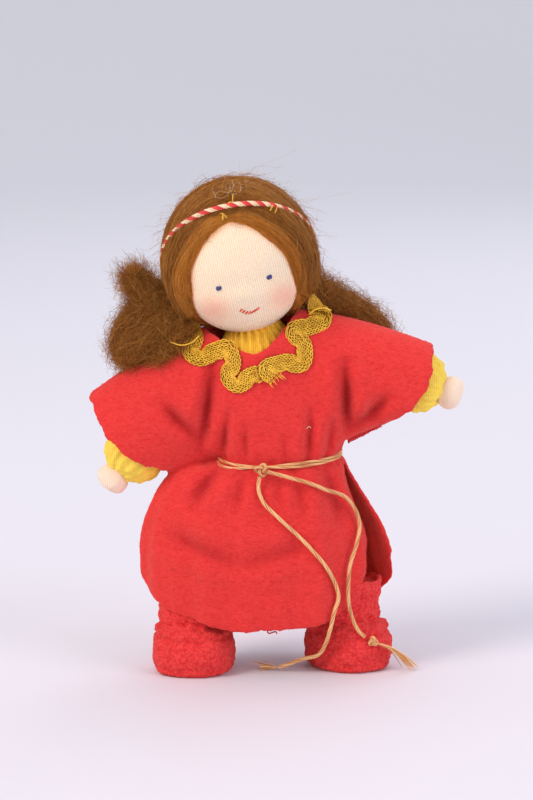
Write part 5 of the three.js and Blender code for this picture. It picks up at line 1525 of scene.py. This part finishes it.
def build_hair(strand_count, loose_count):
    """The fleece, its combed and loose strands, the bunches, the band and the tacking stitches."""
    cap = build_cap()
    r = np.random.default_rng(97)
    batches = [combed(side, strand_count, r) for side in SIDES]

    def off_the_face(p, _):
        q = p - on_head(0, 0, 0)
        x, z = q @ SIDE, q @ UP
        out = np.degrees(np.arccos(np.clip(-q[:, 1] / np.linalg.norm(q, axis=1), -1, 1)))
        return smooth((out - hairline(np.degrees(np.arctan2(z, x))) - 9) / 8)

    batches.append(fuzz_on(cap, 9000, r, 5.5, 0.05, lift=0.05, keep=off_the_face, lay=SIDE * 0.8, curl=1.6))
    batches.append(fuzz_on(cap, 6000, r, 3.2, 0.022, lift=0.55, keep=off_the_face, lay=SIDE * 0.5, curl=2.0))
    theta = r.uniform(50, 165, loose_count)
    phi = r.uniform(-20, 200, loose_count)
    theta = np.maximum(theta, hairline(phi) + 2)
    roots = on_hair(theta, phi, 0.2)
    ahead = on_hair(theta + 2, phi + np.where(phi > 90, 6, -6), 0.2)
    out = unit(roots - on_head(0, 0, 0))
    way = unit(ahead - roots)
    t = np.linspace(0, 1, 14)
    long = r.gamma(2.2, 1.5, loose_count) + 1.5
    curl = r.normal(0, 1, (loose_count, 3))
    paths = drawn(roots, way + out * r.uniform(0.1, 0.75, (loose_count, 1)), t, long)
    turn = r.uniform(3, 9, (loose_count, 1))
    paths += curl[:, None] * (np.sin(t * turn) * long[:, None] * 0.2 * t)[..., None]
    batches.append(strands(paths, 0.021, 3, taper=0.5, tone=r.uniform(0.3, 1, loose_count)))
    comb = paint(strand_mesh("hair_strands", *batches), "hair")
    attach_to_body(comb, "head")
    edge_count = 520
    phi = r.uniform(-35, 215, edge_count)
    theta = hairline(phi) + r.uniform(0.2, 3.0, edge_count)
    roots = on_hair(theta, phi, 0.05)
    inward = unit(on_hair(theta - 2, phi, 0.2) - roots)
    along_edge = unit(on_hair(theta, phi + np.where(phi > 90, 4, -4), 0.2) - roots)
    way = unit(inward * r.uniform(0.0, 0.9, (edge_count, 1)) + along_edge)
    long = r.uniform(1.0, 3.0, edge_count)
    lift = unit(roots - on_head(0, 0, 0))
    paths = drawn(roots, way, t, long) + lift[:, None] * (np.sin(t * 2.6) * 0.5)[:, None]
    # Strands at the hair's edge, in the wool with the painted glow
    painted_glow_strands = [combed(side, 650, r, 0.03, 0.06, 1.8) for side in SIDES]
    down = strands(paths, 0.045, 3, taper=0.6, tone=r.uniform(0, 1, edge_count))
    down = paint(strand_mesh("hairline_down", down, *painted_glow_strands), "hairline")
    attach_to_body(down, "head")
    for side in SIDES:
        build_bunch(side, r)
    build_band()
    build_tacks(r)


def on_crown(x, z, over):
    """A place on the front of the hair, by the head's own x and z."""
    ahead = 1 - (np.asarray(x) / HAIR_HALF[0]) ** 2 - (np.asarray(z) / HAIR_HALF[2]) ** 2
    y = -HAIR_HALF[1] * np.sqrt(np.maximum(0, ahead))
    q = np.stack([x, y, z], -1)
    q = q + unit(q) * np.expand_dims(np.asarray(over), -1)
    return on_head(q[..., 0], q[..., 1], q[..., 2])


# Small yellow stitches that hold the parting and the band: from x, z to x, z on the head
TACKS = [
    (-1.9, 15.1, -0.6, 13.9), (-1.6, 13.6, -1.2, 14.8), (1.5, 17.2, 2.0, 18.9), (0.0, 16.3, 1.2, 17.2),
    (10.2, 13.2, 11.2, 14.4), (11.3, 12.4, 12.0, 13.9),
]


def build_tacks(r):
    """The tacking stitches and a few pale fibres over the crown."""
    t = np.linspace(0, 1, 9)
    rows = np.array(TACKS)
    x, z = mix(rows[:, :1], rows[:, 2:3], t), mix(rows[:, 1:2], rows[:, 3:4], t)
    tacks = strands(on_crown(x, z, 0.4 + 0.7 * np.sin(np.pi * t)), 0.17, 5, tone=r.uniform(0.3, 1, len(rows)))
    obj = paint(strand_mesh("tacking_stitches", tacks), "gold")
    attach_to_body(obj, "head")
    t = np.linspace(0, 1, 40)
    paths = []
    for k in range(5):
        x, z = r.uniform(-3, 4), r.uniform(18.5, 20.5)
        x = x + 7 * t - 2 + np.sin(t * 9 + k)
        z = z + 0.9 * np.sin(t * 11 + 2 * k)
        paths.append(on_crown(x, z, 1.0 + 0.5 * np.sin(t * 6 + k)))
    pale = strands(np.array(paths), 0.022, 4, taper=0.4, tone=r.uniform(0.5, 1, len(paths)))
    pale = paint(strand_mesh("pale_fibres", pale), "band_cream")
    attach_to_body(pale, "head")


# Each bunch's locks: places along the middle of a lock and its half width there, then the count of strands
BUNCHES = {
    "right": [
        (
            [
                (-21.5, 4.0, 97.5, 4.0), (-25.5, 3.5, 95.5, 5.8), (-30.5, 2.0, 91.5, 8.2),
                (-34.0, 1.0, 87.3, 8.8), (-36.6, 0.5, 83.2, 7.0), (-38.2, 0.0, 79.2, 2.4),
            ],
            2600,
        ),
        (
            [
                (-24.0, 2.0, 95.0, 4.2), (-29.0, 1.5, 95.8, 5.0), (-33.0, 1.0, 98.8, 4.4),
                (-35.4, 0.5, 102.2, 3.5), (-36.6, 0.0, 105.4, 1.7),
            ],
            1200,
        ),
        (
            [
                (-22.0, 0.0, 93.0, 3.0), (-26.0, -2.5, 88.5, 4.6), (-28.5, -3.0, 84.5, 3.6),
                (-30.5, -2.5, 81.5, 1.4),
            ],
            800,
        ),
    ],
    "left": [
        (
            [
                (9.5, 6.0, 98.5, 4.0), (14.0, 9.0, 95.0, 5.2), (19.0, 11.5, 92.0, 6.0),
                (23.5, 13.0, 89.0, 6.0), (27.5, 13.5, 85.5, 4.8), (31.0, 13.5, 82.0, 1.6),
            ],
            2300,
        ),
        (
            [(9.0, 2.0, 100.0, 3.2), (13.0, 5.0, 97.5, 3.6), (17.0, 8.0, 94.0, 3.2), (20.0, 10.0, 91.0, 1.4)],
            800,
        ),
    ],
}


def build_bunch(side, r):
    """One bunch: a core of fleece in each lock, with loose strands wound along it."""
    batches, cores = [], []
    for k, (points, count) in enumerate(BUNCHES[side]):
        centre = spline(points, 40)
        line = centre[:, :3]
        spread = centre[:, 3]
        a, b = frames(line[None])
        a, b = a[0], b[0]
        t = np.linspace(0, 1, 22)
        run = np.linspace(0, 1, 40)
        end = np.clip(r.normal(0.86, 0.16, count), 0.35, 1.05)
        rho, angle = np.sqrt(r.random(count)), r.uniform(0, 6.3, count)
        at = np.clip(t[None] * end[:, None], 0, 1)
        where, across, deep = (sampled(at, run, rows) for rows in (line, a, b))
        wide = np.interp(at, run, spread) * rho[:, None]
        winding = angle[:, None] + at * r.normal(0.8, 0.5, (count, 1))
        wave = r.uniform(4, 9, (count, 1))
        crimp = 0.5 * np.sin(at * 40 / wave * 6.3 + r.uniform(0, 6.3, (count, 1)))
        x = wide * np.cos(winding) + crimp
        y = wide * 0.85 * np.sin(winding) + crimp * r.normal(0, 0.8, (count, 1))
        paths = where + across * x[..., None] + deep * y[..., None]
        stray = (at**1.5)[..., None] * r.normal(0, 1.5, (count, 1, 3)) * (r.random((count, 1, 1)) < 0.6)
        paths = paths + stray
        # Painted light: the left bunch's strands get a lighter tone than the right one's, which lies in shade
        # behind the shoulder
        middle = 0.55 if side == "right" else 0.75
        tone = np.clip(middle + 0.2 * rho * np.sin(angle * 3) + r.normal(0, 0.2, count), 0, 1)
        batches.append(strands(paths, 0.055 * r.uniform(0.5, 1.4, count), 3, taper=0.6, tone=tone))
        turn = circle(40)[:, None]
        keep = slice(1, 37)
        section = np.cos(turn) * a[keep, None] + 0.85 * np.sin(turn) * b[keep, None]
        rings = line[keep, None] + 0.8 * spread[keep, None, None] * section
        cores.append(rumple(lofted("part", rings), 101 + k, 3.5, 0.7))
        batches.append(fuzz_on(cores[-1], 1600, r, 4.5, 0.022, lift=0.8, curl=2.0))
        batches.append(fuzz_on(cores[-1], 1800, r, 5.0, 0.045, lift=0.25, curl=1.8))
    core = paint(join("bunch_" + side, cores), "fleece")
    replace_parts(core, "hair_bunch_" + side)
    loose = paint(strand_mesh("bunch_strands_" + side, *batches), "hair")
    for obj in (core, loose):
        away = SIDES[side] * (places(obj) - on_head(0, 0, 0)) @ SIDE
        bend(obj, "head", "neck", 0.6 * smooth((away - 18) / 16))


def twist(line, offset, pitch, plies, radius, sides=8, tones=None):
    """Plies laid round a line in a rope; pitch is the length of one full turn."""
    a, b = frames(line[None])
    angle = 2 * np.pi * (run_along(line)[None] / pitch + np.asarray(plies, float)[:, None])
    paths = line[None] + offset * (np.cos(angle)[..., None] * a + np.sin(angle)[..., None] * b)
    return strands(paths, radius, sides, tone=tones)


# The band's plane: its height on the head, and how far it drops for each millimetre towards the back
BAND_HEIGHT, BAND_DROP = 5.4, 0.92


def build_band():
    """The head band, laid where its sloping plane meets the hair, which halving a distance finds."""
    psi = np.linspace(0, 2 * np.pi, 361)
    low, high = np.zeros(361), np.full(361, 40.0)
    for _ in range(40):
        mid = (low + high) / 2
        x, y = mid * np.cos(psi), mid * np.sin(psi)
        z = BAND_HEIGHT - BAND_DROP * y
        inside = (x / HAIR_HALF[0]) ** 2 + (y / HAIR_HALF[1]) ** 2 + (z / HAIR_HALF[2]) ** 2 < 1
        low, high = np.where(inside, mid, low), np.where(inside, high, mid)
    radius = low + 0.75
    line = on_head(radius * np.cos(psi), radius * np.sin(psi), BAND_HEIGHT - BAND_DROP * low * np.sin(psi))
    line = spline(line, 900)
    reds = twist(line, 0.36, 3.7, (0.0, 0.25), 0.33, tones=[0.4, 0.8])
    creams = twist(line, 0.36, 3.7, (0.5, 0.75), 0.33, tones=[0.5, 0.9])
    band = paint(strand_mesh("head_band", reds), "band_red")
    pale = paint(strand_mesh("head_band_pale", creams), "band_cream")
    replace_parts(band, "head_band")
    for obj in (band, pale):
        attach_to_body(obj, "head")


# Braid, belt and tails

# The middle of each braid, as x, z from the waist along the leaning axes
BRAIDS = {
    "right": [
        (-13.62, 37.66), (-15.08, 33.44), (-16.53, 30.85), (-14.33, 29.14), (-9.7, 30.17), (-7.13, 30.31),
        (-6.45, 27.28), (-7.9, 23.06), (-6.36, 21.18), (-2.3, 22.62), (-0.34, 22.88),
    ],
    "left": [
        (3.11, 21.0), (1.75, 23.84), (6.26, 24.25), (10.82, 23.18), (11.81, 27.35), (10.15, 31.19),
        (14.31, 31.34), (18.26, 32.18), (16.9, 35.0), (16.09, 39.01),
    ],
}
# The loose end of thread at the top of each braid
STRAYS = {
    "right": [(-18.6, -8.5, 88.6), (-20.5, -9.6, 87.0), (-23.2, -9.4, 86.3), (-25.9, -8.4, 87.0)],
    "left": [(9.6, -8.6, 94.2), (11.4, -9.6, 95.6), (13.4, -9.4, 95.9), (15.3, -8.8, 95.2)],
}


def build_braid(side, tree, r):
    """Wave braid: rows of small looped stitches in a flat ribbon that swings from side to side."""
    line = spline([(x, z, 0) for x, z in BRAIDS[side]], 260)[:, :2]
    tangent = unit(np.gradient(line, axis=0))
    across = np.stack([-tangent[:, 1], tangent[:, 0]], -1)
    run = run_along(line)
    bend_rate = averaged(np.gradient(np.unwrap(np.arctan2(tangent[:, 1], tangent[:, 0])), run), 6)
    rise = 0.75 * smooth((8 - run) / 3) if side == "left" else np.zeros(len(run))
    half = 2.3
    hits, normals, good = dropped(tree, leaning(line[:, 0], -40, line[:, 1]))
    good &= hits[:, 1] < -1.5
    at = np.arange(len(run))
    depth, *normals = [
        averaged(np.interp(at, at[good], column[good]), 6) for column in (hits[:, 1], *normals.T)
    ]
    facing = unit(np.stack(normals, -1) * [1, 1.3, 1])

    def lay(s, w, over):
        """A place on the ribbon: s along it and w across it, in millimetres."""
        x, z = np.interp(s, run, line[:, 0]), np.interp(s, run, line[:, 1])
        ax, az = np.interp(s, run, across[:, 0]), np.interp(s, run, across[:, 1])
        top = s if side == "right" else run[-1] - s
        crowding = 1 + np.maximum(0, w * np.interp(s, run, bend_rate)) * 0.75
        squeezed = w * mix(0.3, 1.0, smooth(top / 4.5)) / crowding
        flat = leaning(x + ax * squeezed, -40, z + az * squeezed)
        hits, _, good = dropped(tree, flat.reshape(-1, 3))
        middle = np.interp(s, run, depth)
        met = np.clip(hits[:, 1].reshape(s.shape), middle - 1.0, middle + 1.0)
        flat[..., 1] = np.where(good.reshape(s.shape), met, middle)
        return flat + sampled(s, run, facing) * (over + np.interp(s, run, rise))[..., None]

    rows = np.arange(-2, 3) * 0.94
    pitch = 0.76
    count = int(run[-1] / pitch)
    step = (np.arange(count) + 0.3) * pitch
    t = np.linspace(0, 1, 5)
    legs = []
    for w in rows:
        for hand in (-1, 1):
            s = step[:, None] + t * pitch * 1.05 + r.normal(0, 0.03, (count, 1))
            wide = w + hand * (0.36 - 0.27 * t) + r.normal(0, 0.02, (count, 1))
            legs.append(lay(np.clip(s, 0, run[-1]), wide, 0.4 + 0.2 * np.sin(np.pi * t)))
    paths = np.concatenate(legs)
    stitches = strands(paths, 0.165, 5, tone=np.clip(r.normal(0.62, 0.2, len(paths)), 0, 1))
    # A dark sheet under the stitches: painted shade in the gaps between them
    s, w = np.meshgrid(np.linspace(0.5, run[-1] - 0.5, 240), np.linspace(-half, half, 9), indexing="ij")
    ground = lay(s, w, 0.2)
    under = make_mesh("braid_gap_shade_" + side, ground.reshape(-1, 3), grid_faces(240, 9, closed=False))
    ends = []
    t = np.linspace(0, 1, 7)
    for end, before in ((0, 6), (-1, -7)):
        roots = lay(np.full(11, run[end]), np.linspace(-2, 2, 11), 0.35)
        tip, behind = (leaning(line[k][0], 0, line[k][1]) for k in (end, before))
        way = unit(tip - behind)
        long = r.uniform(0.5, 2.0, 11)
        loose = roots[:, None] + way * (t * long[:, None])[..., None]
        loose += r.normal(0, 0.3, (11, 1, 3)) * (t**1.5)[None, :, None]
        ends.append(strands(loose, 0.11, 4, taper=0.4, tone=r.uniform(0.4, 1, 11)))
    ends.append(strands(spline(STRAYS[side], 24)[None], 0.17, 5, tone=[0.7]))
    braid = paint(strand_mesh("braid_" + side, stitches, *ends), "gold")
    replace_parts(braid, "braid_" + side)
    for obj in (braid, paint(under, "gold_gap_shade")):
        bend(obj, "torso", "upper_arm_" + side, sleeve_share(side, places(obj)))


# The belt's tails and their frayed ends, in the doll's own places
TAILS = {
    "right": [
        (-3.1, -14.3, 52.9), (-3.4, -14.1, 49.9), (-2, -15.2, 46.3), (1.7, -16, 42.6), (6.5, -15.4, 38),
        (10.3, -15.2, 34.1), (14.2, -14.6, 29.2), (16.5, -12.7, 24.4), (17.3, -12.1, 20.8),
        (16.2, -13.4, 17.2), (15.2, -13, 12.7), (13.9, -11.4, 8.2), (12, -9.6, 5), (7.9, -8.6, 3.7),
        (4, -7.4, 1.9), (1.2, -6.4, 0.8),
    ],
    "left": [
        (-1.1, -14.6, 54.3), (3.1, -14.2, 53.1), (9, -12.8, 51.2), (14.2, -11.5, 49), (19, -9, 46.7),
        (21.6, -7.6, 43.3), (22.8, -7.3, 39.1), (22.1, -8.7, 34.5), (20.4, -10.4, 29.4), (19.9, -10.8, 24.6),
        (19.9, -10.8, 20.2), (20.7, -10.2, 15.8), (22.4, -10, 11.8), (24.9, -9.8, 9.4),
    ],
}
TASSELS = {
    "right": [(1.2, -6.4, 0.8), (0.2, -6.1, 0.95), (-1.1, -5.6, 1.0), (-2.8, -5.2, 0.9)],
    "left": [(26.8, -9.6, 8.3), (30.4, -8.8, 6.9), (33.2, -7.8, 4.7), (35.4, -6.6, 2.2), (36.4, -6.4, 0.9)],
}
TAIL_KNOT = (26.4, -9.6, 8.6)
BELT_KNOT = (-2.6, -13.6, 54.6)


def clear_of(tree, line, gap):
    """Lifts a line off the tunic's front wherever it would sink into it, then smooths the lift."""
    ahead = line.copy()
    ahead[:, 1] = -40
    hits, _, good = dropped(tree, ahead)
    wanted = np.where(good & (hits[:, 1] < 4), np.minimum(line[:, 1], hits[:, 1] - gap), line[:, 1])
    lift = wanted - line[:, 1]
    for _ in range(12):
        near = np.minimum(np.minimum(np.roll(lift, 1), np.roll(lift, -1)), lift)
        near[0], near[-1] = min(lift[0], lift[1]), min(lift[-1], lift[-2])
        lift = np.minimum(lift, 0.85 * near)
    return line + np.stack([np.zeros(len(lift)), lift, np.zeros(len(lift))], -1)


def hang(obj, line, share):
    """Reads the share of the cord beside each point of a piece, for the left thigh that both tails lie over,
    and hands piece and shares to bend.
    """
    near = ((places(obj)[:, None] - line[None]) ** 2).sum(-1).argmin(1)
    return bend(obj, "torso", "thigh_left", share[near])


def build_knot(name, place, size, tilt, r):
    """A small tight overhand knot of the same cord."""
    t = np.linspace(0, 2 * np.pi, 120, endpoint=False)
    x = np.sin(t) + 2 * np.sin(2 * t)
    y = np.cos(t) - 2 * np.cos(2 * t)
    z = -np.sin(3 * t)
    line = np.stack([x, z * 0.9, y], -1) * size / 3.4
    c, s = math.cos(tilt), math.sin(tilt)
    line = np.stack(
        [line[:, 0] * c - line[:, 2] * s, line[:, 1], line[:, 0] * s + line[:, 2] * c], -1,
    ) + place
    knot = strand_mesh(name, *floss(line, 0.27, 9.0, r))
    paint(knot, "floss")
    return knot


def floss(line, reach, pitch, r, count=9):
    """Soft stranded cord: fine filaments laid round a core, each with its own tone."""
    outer = twist(
        line, reach, pitch, np.arange(count) / count, reach * 0.44, sides=6, tones=r.uniform(0, 1, count),
    )
    return outer, twist(line, 0.01, pitch, [0], reach, tones=[0.4])


def build_belt(tree):
    """The cord's two turns round the waist, its knot and its two tails."""
    r = np.random.default_rng(111)
    turns = np.linspace(0, 2, 481)
    a = 2 * np.pi * turns - np.pi / 2 - 0.07 * np.pi
    tied = smooth(np.minimum(turns, 2 - turns) / 0.09)
    centre = np.stack(
        [np.full(len(a), WAIST[0]), np.zeros(len(a)), belt_height(a) + 0.85 * (1 - turns) * tied], -1,
    )
    out = unit(np.stack([np.cos(a), 0.68 * np.sin(a), np.zeros(len(a))], -1))
    reach = []
    for c, o in zip(centre, out):
        hit, _, _, _ = tree.ray_cast(Vector(c), Vector(o), 60.0)
        reach.append((Vector(c) - hit).length + FELT if hit else 14.0)
    reach = averaged(np.minimum(reach, 18.0), 7)
    line = centre + out * (reach + 0.5)[:, None]
    belt = strand_mesh("belt", *floss(line, 0.27, 11.0, r))
    paint(belt, "floss")
    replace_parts(belt, "belt")
    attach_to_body(belt, "torso")
    knot = build_knot("belt_knot", BELT_KNOT, 1.8, 0.4, r)
    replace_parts(knot, "belt_knot")
    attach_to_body(knot, "torso")
    for name in TAILS:
        build_tail(name, tree, r)


def build_tail(name, tree, r):
    """One end of the belt's cord, hanging free, with its frayed end and the left one's small knot."""
    line = clear_of(tree, spline(TAILS[name], 240), 0.75)
    line = spline(line[::4], 240)
    tail = strand_mesh("belt_tail_" + name, *floss(line, 0.36, 9.0, r))
    paint(tail, "floss")
    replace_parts(tail, "belt_tail_" + name)
    share = np.maximum.accumulate(skirt_share(line) * (line[:, 0] > WAIST[0]))
    hang(tail, line, share)
    tassel_line = spline(TASSELS[name], 30)
    t = np.linspace(0, 1, 30)
    count = 26
    splay = r.normal(0, 1, (count, 1, 3)) * (0.12 + t[None, :, None] ** 1.3)
    splay *= np.array([1.0, 1.0, 0.45]) * (1.5 if name == "right" else 1.0)
    ends = tassel_line[None] + splay * 0.8
    ends[..., 2] = np.maximum(ends[..., 2], 0.12)
    tassel = strand_mesh("tassel_" + name, strands(ends, 0.12, 5, taper=0.5, tone=r.uniform(0.2, 1, count)))
    paint(tassel, "floss")
    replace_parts(tassel, "tassel_" + name)
    hang(tassel, line, share)
    if name == "left":
        small = build_knot("tail_knot_left", TAIL_KNOT, 1.3, 1.1, r)
        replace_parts(small, "tail_knot_left")
        hang(small, line, share)


def dress_tunic(pitch, fuzz_count):
    """The tunic in its parts, with its nap, and a search tree over it for what lies on it."""
    whole, painted_shade = build_tunic(pitch)
    tree = tree_of(whole)
    r = np.random.default_rng(121)
    fuzz = fuzz_on(whole, fuzz_count, r, 0.7, 0.018, lift=0.5, lay=(0.8, 0, 0))
    strands_on_tunic("nap", fuzz, fuzz_count, "felt_fuzz")
    pieces = parted(whole)
    keep_shading(pieces, places(whole), normals_of(whole), painted_shade)
    bpy.data.objects.remove(whole)
    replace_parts(pieces["body"], "tunic")
    for region, obj in pieces.items():
        paint(obj, "felt")
        attach(obj, region)
        extent = np.ptp(places(obj), axis=0)
    return tree


def overcast(name, line, region):
    """Thick sewing thread wound over an edge of the felt."""
    line = spline(line, 400)
    a, b = frames(line[None])
    angle = 2 * np.pi * run_along(line) / 0.62 + 0.5 * ripple(line, 141, 4.0, 2)
    sway = 1 + 0.18 * ripple(line, 142, 2.5, 2)
    wound = a[0] * np.cos(angle)[:, None] * 0.5 + b[0] * np.sin(angle)[:, None] * 0.8
    path = line + wound * sway[:, None]
    obj = paint(strand_mesh(name, strands(path[None], 0.27, 6, tone=[0.5])), "overcast")
    attach(obj, region)


def build_stitching(tree):
    """The seams under the arms, a white fleck on the chest and a loose thread at the hem."""
    for side, sign in SIDES.items():
        _, foot, armpit = SLEEVES[side]
        seam = leaning(sign * np.linspace(27.6, 18.5, 5), 0, np.linspace(foot, armpit, 5))
        overcast("seam_" + side, seam, "sleeve_" + side)
    t = np.linspace(0, 1, 12)
    ahead = np.stack([9.0 + 1.1 * t, np.full(12, -40.0), 64.7 + 0.5 * np.sin(3 * t)], -1)
    hits, _, _ = dropped(tree, ahead)
    fleck = strands((hits - BACK * 0.25)[None], 0.1, 5, tone=[1.0])
    fleck = paint(strand_mesh("white_fleck", fleck), "band_cream")
    attach(fleck, "body")
    t = np.linspace(0, 1, 14)[:, None]
    tuft = np.array([-2.2, -13.0, 13.2]) + t * [3.4, -0.6, -1.9] + np.sin(t * 9) * [0.4, 0.2, 0.5]
    stray = paint(strand_mesh("hem_thread", strands(tuft[None], 0.2, 5, tone=[0.3])), "overcast")
    attach(stray, "skirt_right")


def dress_wires():
    for name, node in frame["nodes"].items():
        if "wire" in name:
            paint(node, "wire")


# The stage

def build_stage():
    """A sheet of paper that curves up behind the doll, four soft lamps and the camera, in metres."""
    floor_half, front, back, top, curl = 3.0, -4.0, 2.2, 2.6, 0.9
    quarter = np.linspace(0, 1, 24)[1:] * math.pi / 2
    curve = [(front, 0.0), (0.0, 0.0), (back - curl, 0.0)]
    curve += [(back - curl + curl * math.sin(x), curl * (1 - math.cos(x))) for x in quarter]
    curve.append((back, top))
    verts = [(x, y, z) for y, z in curve for x in (-floor_half, floor_half)]
    mesh = bpy.data.meshes.new("floor")
    count = len(curve)
    mesh.from_pydata(verts, [], [(2 * i, 2 * i + 1, 2 * i + 3, 2 * i + 2) for i in range(count - 1)])
    mesh.polygons.foreach_set("use_smooth", [True] * len(mesh.polygons))
    floor = bpy.data.objects.new("floor", mesh)
    bpy.context.scene.collection.objects.link(floor)
    mesh.attributes.new("far", "FLOAT", "POINT")
    mesh.attributes["far"].data.foreach_set("value", [1.0 if y > 1.0 else 0.0 for _, y, _ in verts])
    mesh.materials.append(material("paper"))

    def area(name, place, aim, size, power, colour):
        light = bpy.data.lights.new(name, "AREA")
        light.shape = "DISK"
        light.size = size
        light.energy = power
        light.color = linear(colour)[:3]
        obj = bpy.data.objects.new(name, light)
        obj.location = place
        obj.rotation_euler = (Vector(aim) - Vector(place)).to_track_quat("-Z", "Y").to_euler()
        bpy.context.scene.collection.objects.link(obj)

    area("light_key", (-0.75, -0.55, 0.8), (0, 0, 0.06), 0.5, 7.3, "#fff6ee")
    area("light_fill", (0.8, -0.6, 0.45), (0, 0, 0.06), 0.8, 3.9, "#f6f4ff")
    area("light_top", (0.0, 0.25, 0.95), (0, 0, 0.05), 0.8, 1.5, "#ffffff")
    area("light_back", (0.5, 0.85, 0.7), (0, 0, 0.06), 0.7, 1.8, "#f8f6ff")
    world = bpy.data.worlds.new("studio")
    world.use_nodes = True
    world.node_tree.nodes["Background"].inputs["Color"].default_value = linear("#eeeef8")
    world.node_tree.nodes["Background"].inputs["Strength"].default_value = 0.62
    bpy.context.scene.world = world
    bpy.context.scene.view_settings.view_transform = "Standard"
    camera = bpy.data.cameras.new("camera")
    camera.lens = 156
    camera.sensor_width = 36
    camera.clip_start = 0.01
    camera.clip_end = 20
    obj = bpy.data.objects.new("camera", camera)
    tilt = math.radians(9)
    target = (np.array([-1.3, 0.0, 70.6]) + SHIFT) * MM
    distance = 0.9
    obj.location = target + distance * np.array([0, -math.cos(tilt), math.sin(tilt)])
    obj.rotation_euler = (math.pi / 2 - tilt, 0, 0)
    bpy.context.scene.collection.objects.link(obj)
    bpy.context.scene.camera = obj


# The add-on

class DollClothSettings(bpy.types.PropertyGroup):
    pitch: FloatProperty(
        name="Cloth pitch", description="Size of the tunic's mesh quads", default=0.0005, min=0.0002,
        unit="LENGTH", subtype="DISTANCE",
    )
    nap: IntProperty(
        name="Nap fibres", description="Loose wool fibres standing on the felt", default=16000, min=0,
    )


class DollHairSettings(bpy.types.PropertyGroup):
    strands: IntProperty(
        name="Strands a side", description="Combed strands from the parting to each bunch", default=2800,
        min=10,
    )
    loose: IntProperty(
        name="Loose hairs", description="Fine hairs that stand off the head", default=1200, min=0,
    )


# What one operator builds and a later one needs
built = {}


class DOLL_OT_tunic(bpy.types.Operator):
    """Builds the felt tunic with its folds and nap"""

    bl_idname = "doll.tunic"
    bl_label = "Tunic"

    def execute(self, context):
        settings = context.scene.doll_cloth
        built["tunic"] = dress_tunic(settings.pitch / MM, settings.nap)
        return {"FINISHED"}


class DOLL_OT_suit(bpy.types.Operator):
    """Builds the jersey suit, the hands, the legs and the boots"""

    bl_idname = "doll.suit"
    bl_label = "Suit and boots"

    def execute(self, context):
        build_suit()
        return {"FINISHED"}


class DOLL_OT_head(bpy.types.Operator):
    """Builds the head, its features, the hair and the head band"""

    bl_idname = "doll.head"
    bl_label = "Head and hair"

    def execute(self, context):
        face = build_face()
        build_features(face)
        settings = context.scene.doll_hair
        build_hair(settings.strands, settings.loose)
        return {"FINISHED"}


class DOLL_OT_trim(bpy.types.Operator):
    """Lays the wave braid and ties the cord belt over the tunic"""

    bl_idname = "doll.trim"
    bl_label = "Braid and belt"

    def execute(self, context):
        r = np.random.default_rng(131)
        for side in SIDES:
            build_braid(side, built["tunic"], r)
        build_belt(built["tunic"])
        build_stitching(built["tunic"])
        return {"FINISHED"}


class DOLL_OT_wires(bpy.types.Operator):
    """Gives the armature's carried-over pieces their steel"""

    bl_idname = "doll.wires"
    bl_label = "Armature"

    def execute(self, context):
        dress_wires()
        return {"FINISHED"}


class DOLL_OT_stage(bpy.types.Operator):
    """Builds the floor, the lights and the camera"""

    bl_idname = "doll.stage"
    bl_label = "Stage"

    def execute(self, context):
        build_stage()
        return {"FINISHED"}


class DOLL_PT_panel(bpy.types.Panel):
    """Lists the doll's settings and building steps"""

    bl_label = "Waldorf doll"
    bl_idname = "DOLL_PT_panel"
    bl_space_type = "VIEW_3D"
    bl_region_type = "UI"
    bl_category = "Doll"

    def draw(self, context):
        layout = self.layout
        for group in (context.scene.doll_cloth, context.scene.doll_hair):
            for key in group.__annotations__:
                layout.prop(group, key)
        for step in STEPS:
            layout.operator(step.bl_idname)


STEPS = (DOLL_OT_tunic, DOLL_OT_suit, DOLL_OT_head, DOLL_OT_trim, DOLL_OT_wires, DOLL_OT_stage)
CLASSES = (DollClothSettings, DollHairSettings, *STEPS, DOLL_PT_panel)


def register():
    for cls in CLASSES:
        bpy.utils.register_class(cls)
    bpy.types.Scene.doll_cloth = PointerProperty(type=DollClothSettings)
    bpy.types.Scene.doll_hair = PointerProperty(type=DollHairSettings)


def unregister():
    del bpy.types.Scene.doll_hair
    del bpy.types.Scene.doll_cloth
    for cls in reversed(CLASSES):
        bpy.utils.unregister_class(cls)


def main():
    register()
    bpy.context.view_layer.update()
    bpy.ops.doll.tunic()
    bpy.ops.doll.suit()
    bpy.ops.doll.head()
    bpy.ops.doll.trim()
    bpy.ops.doll.wires()
    bpy.ops.doll.stage()


if __name__ == "__main__":
    main()
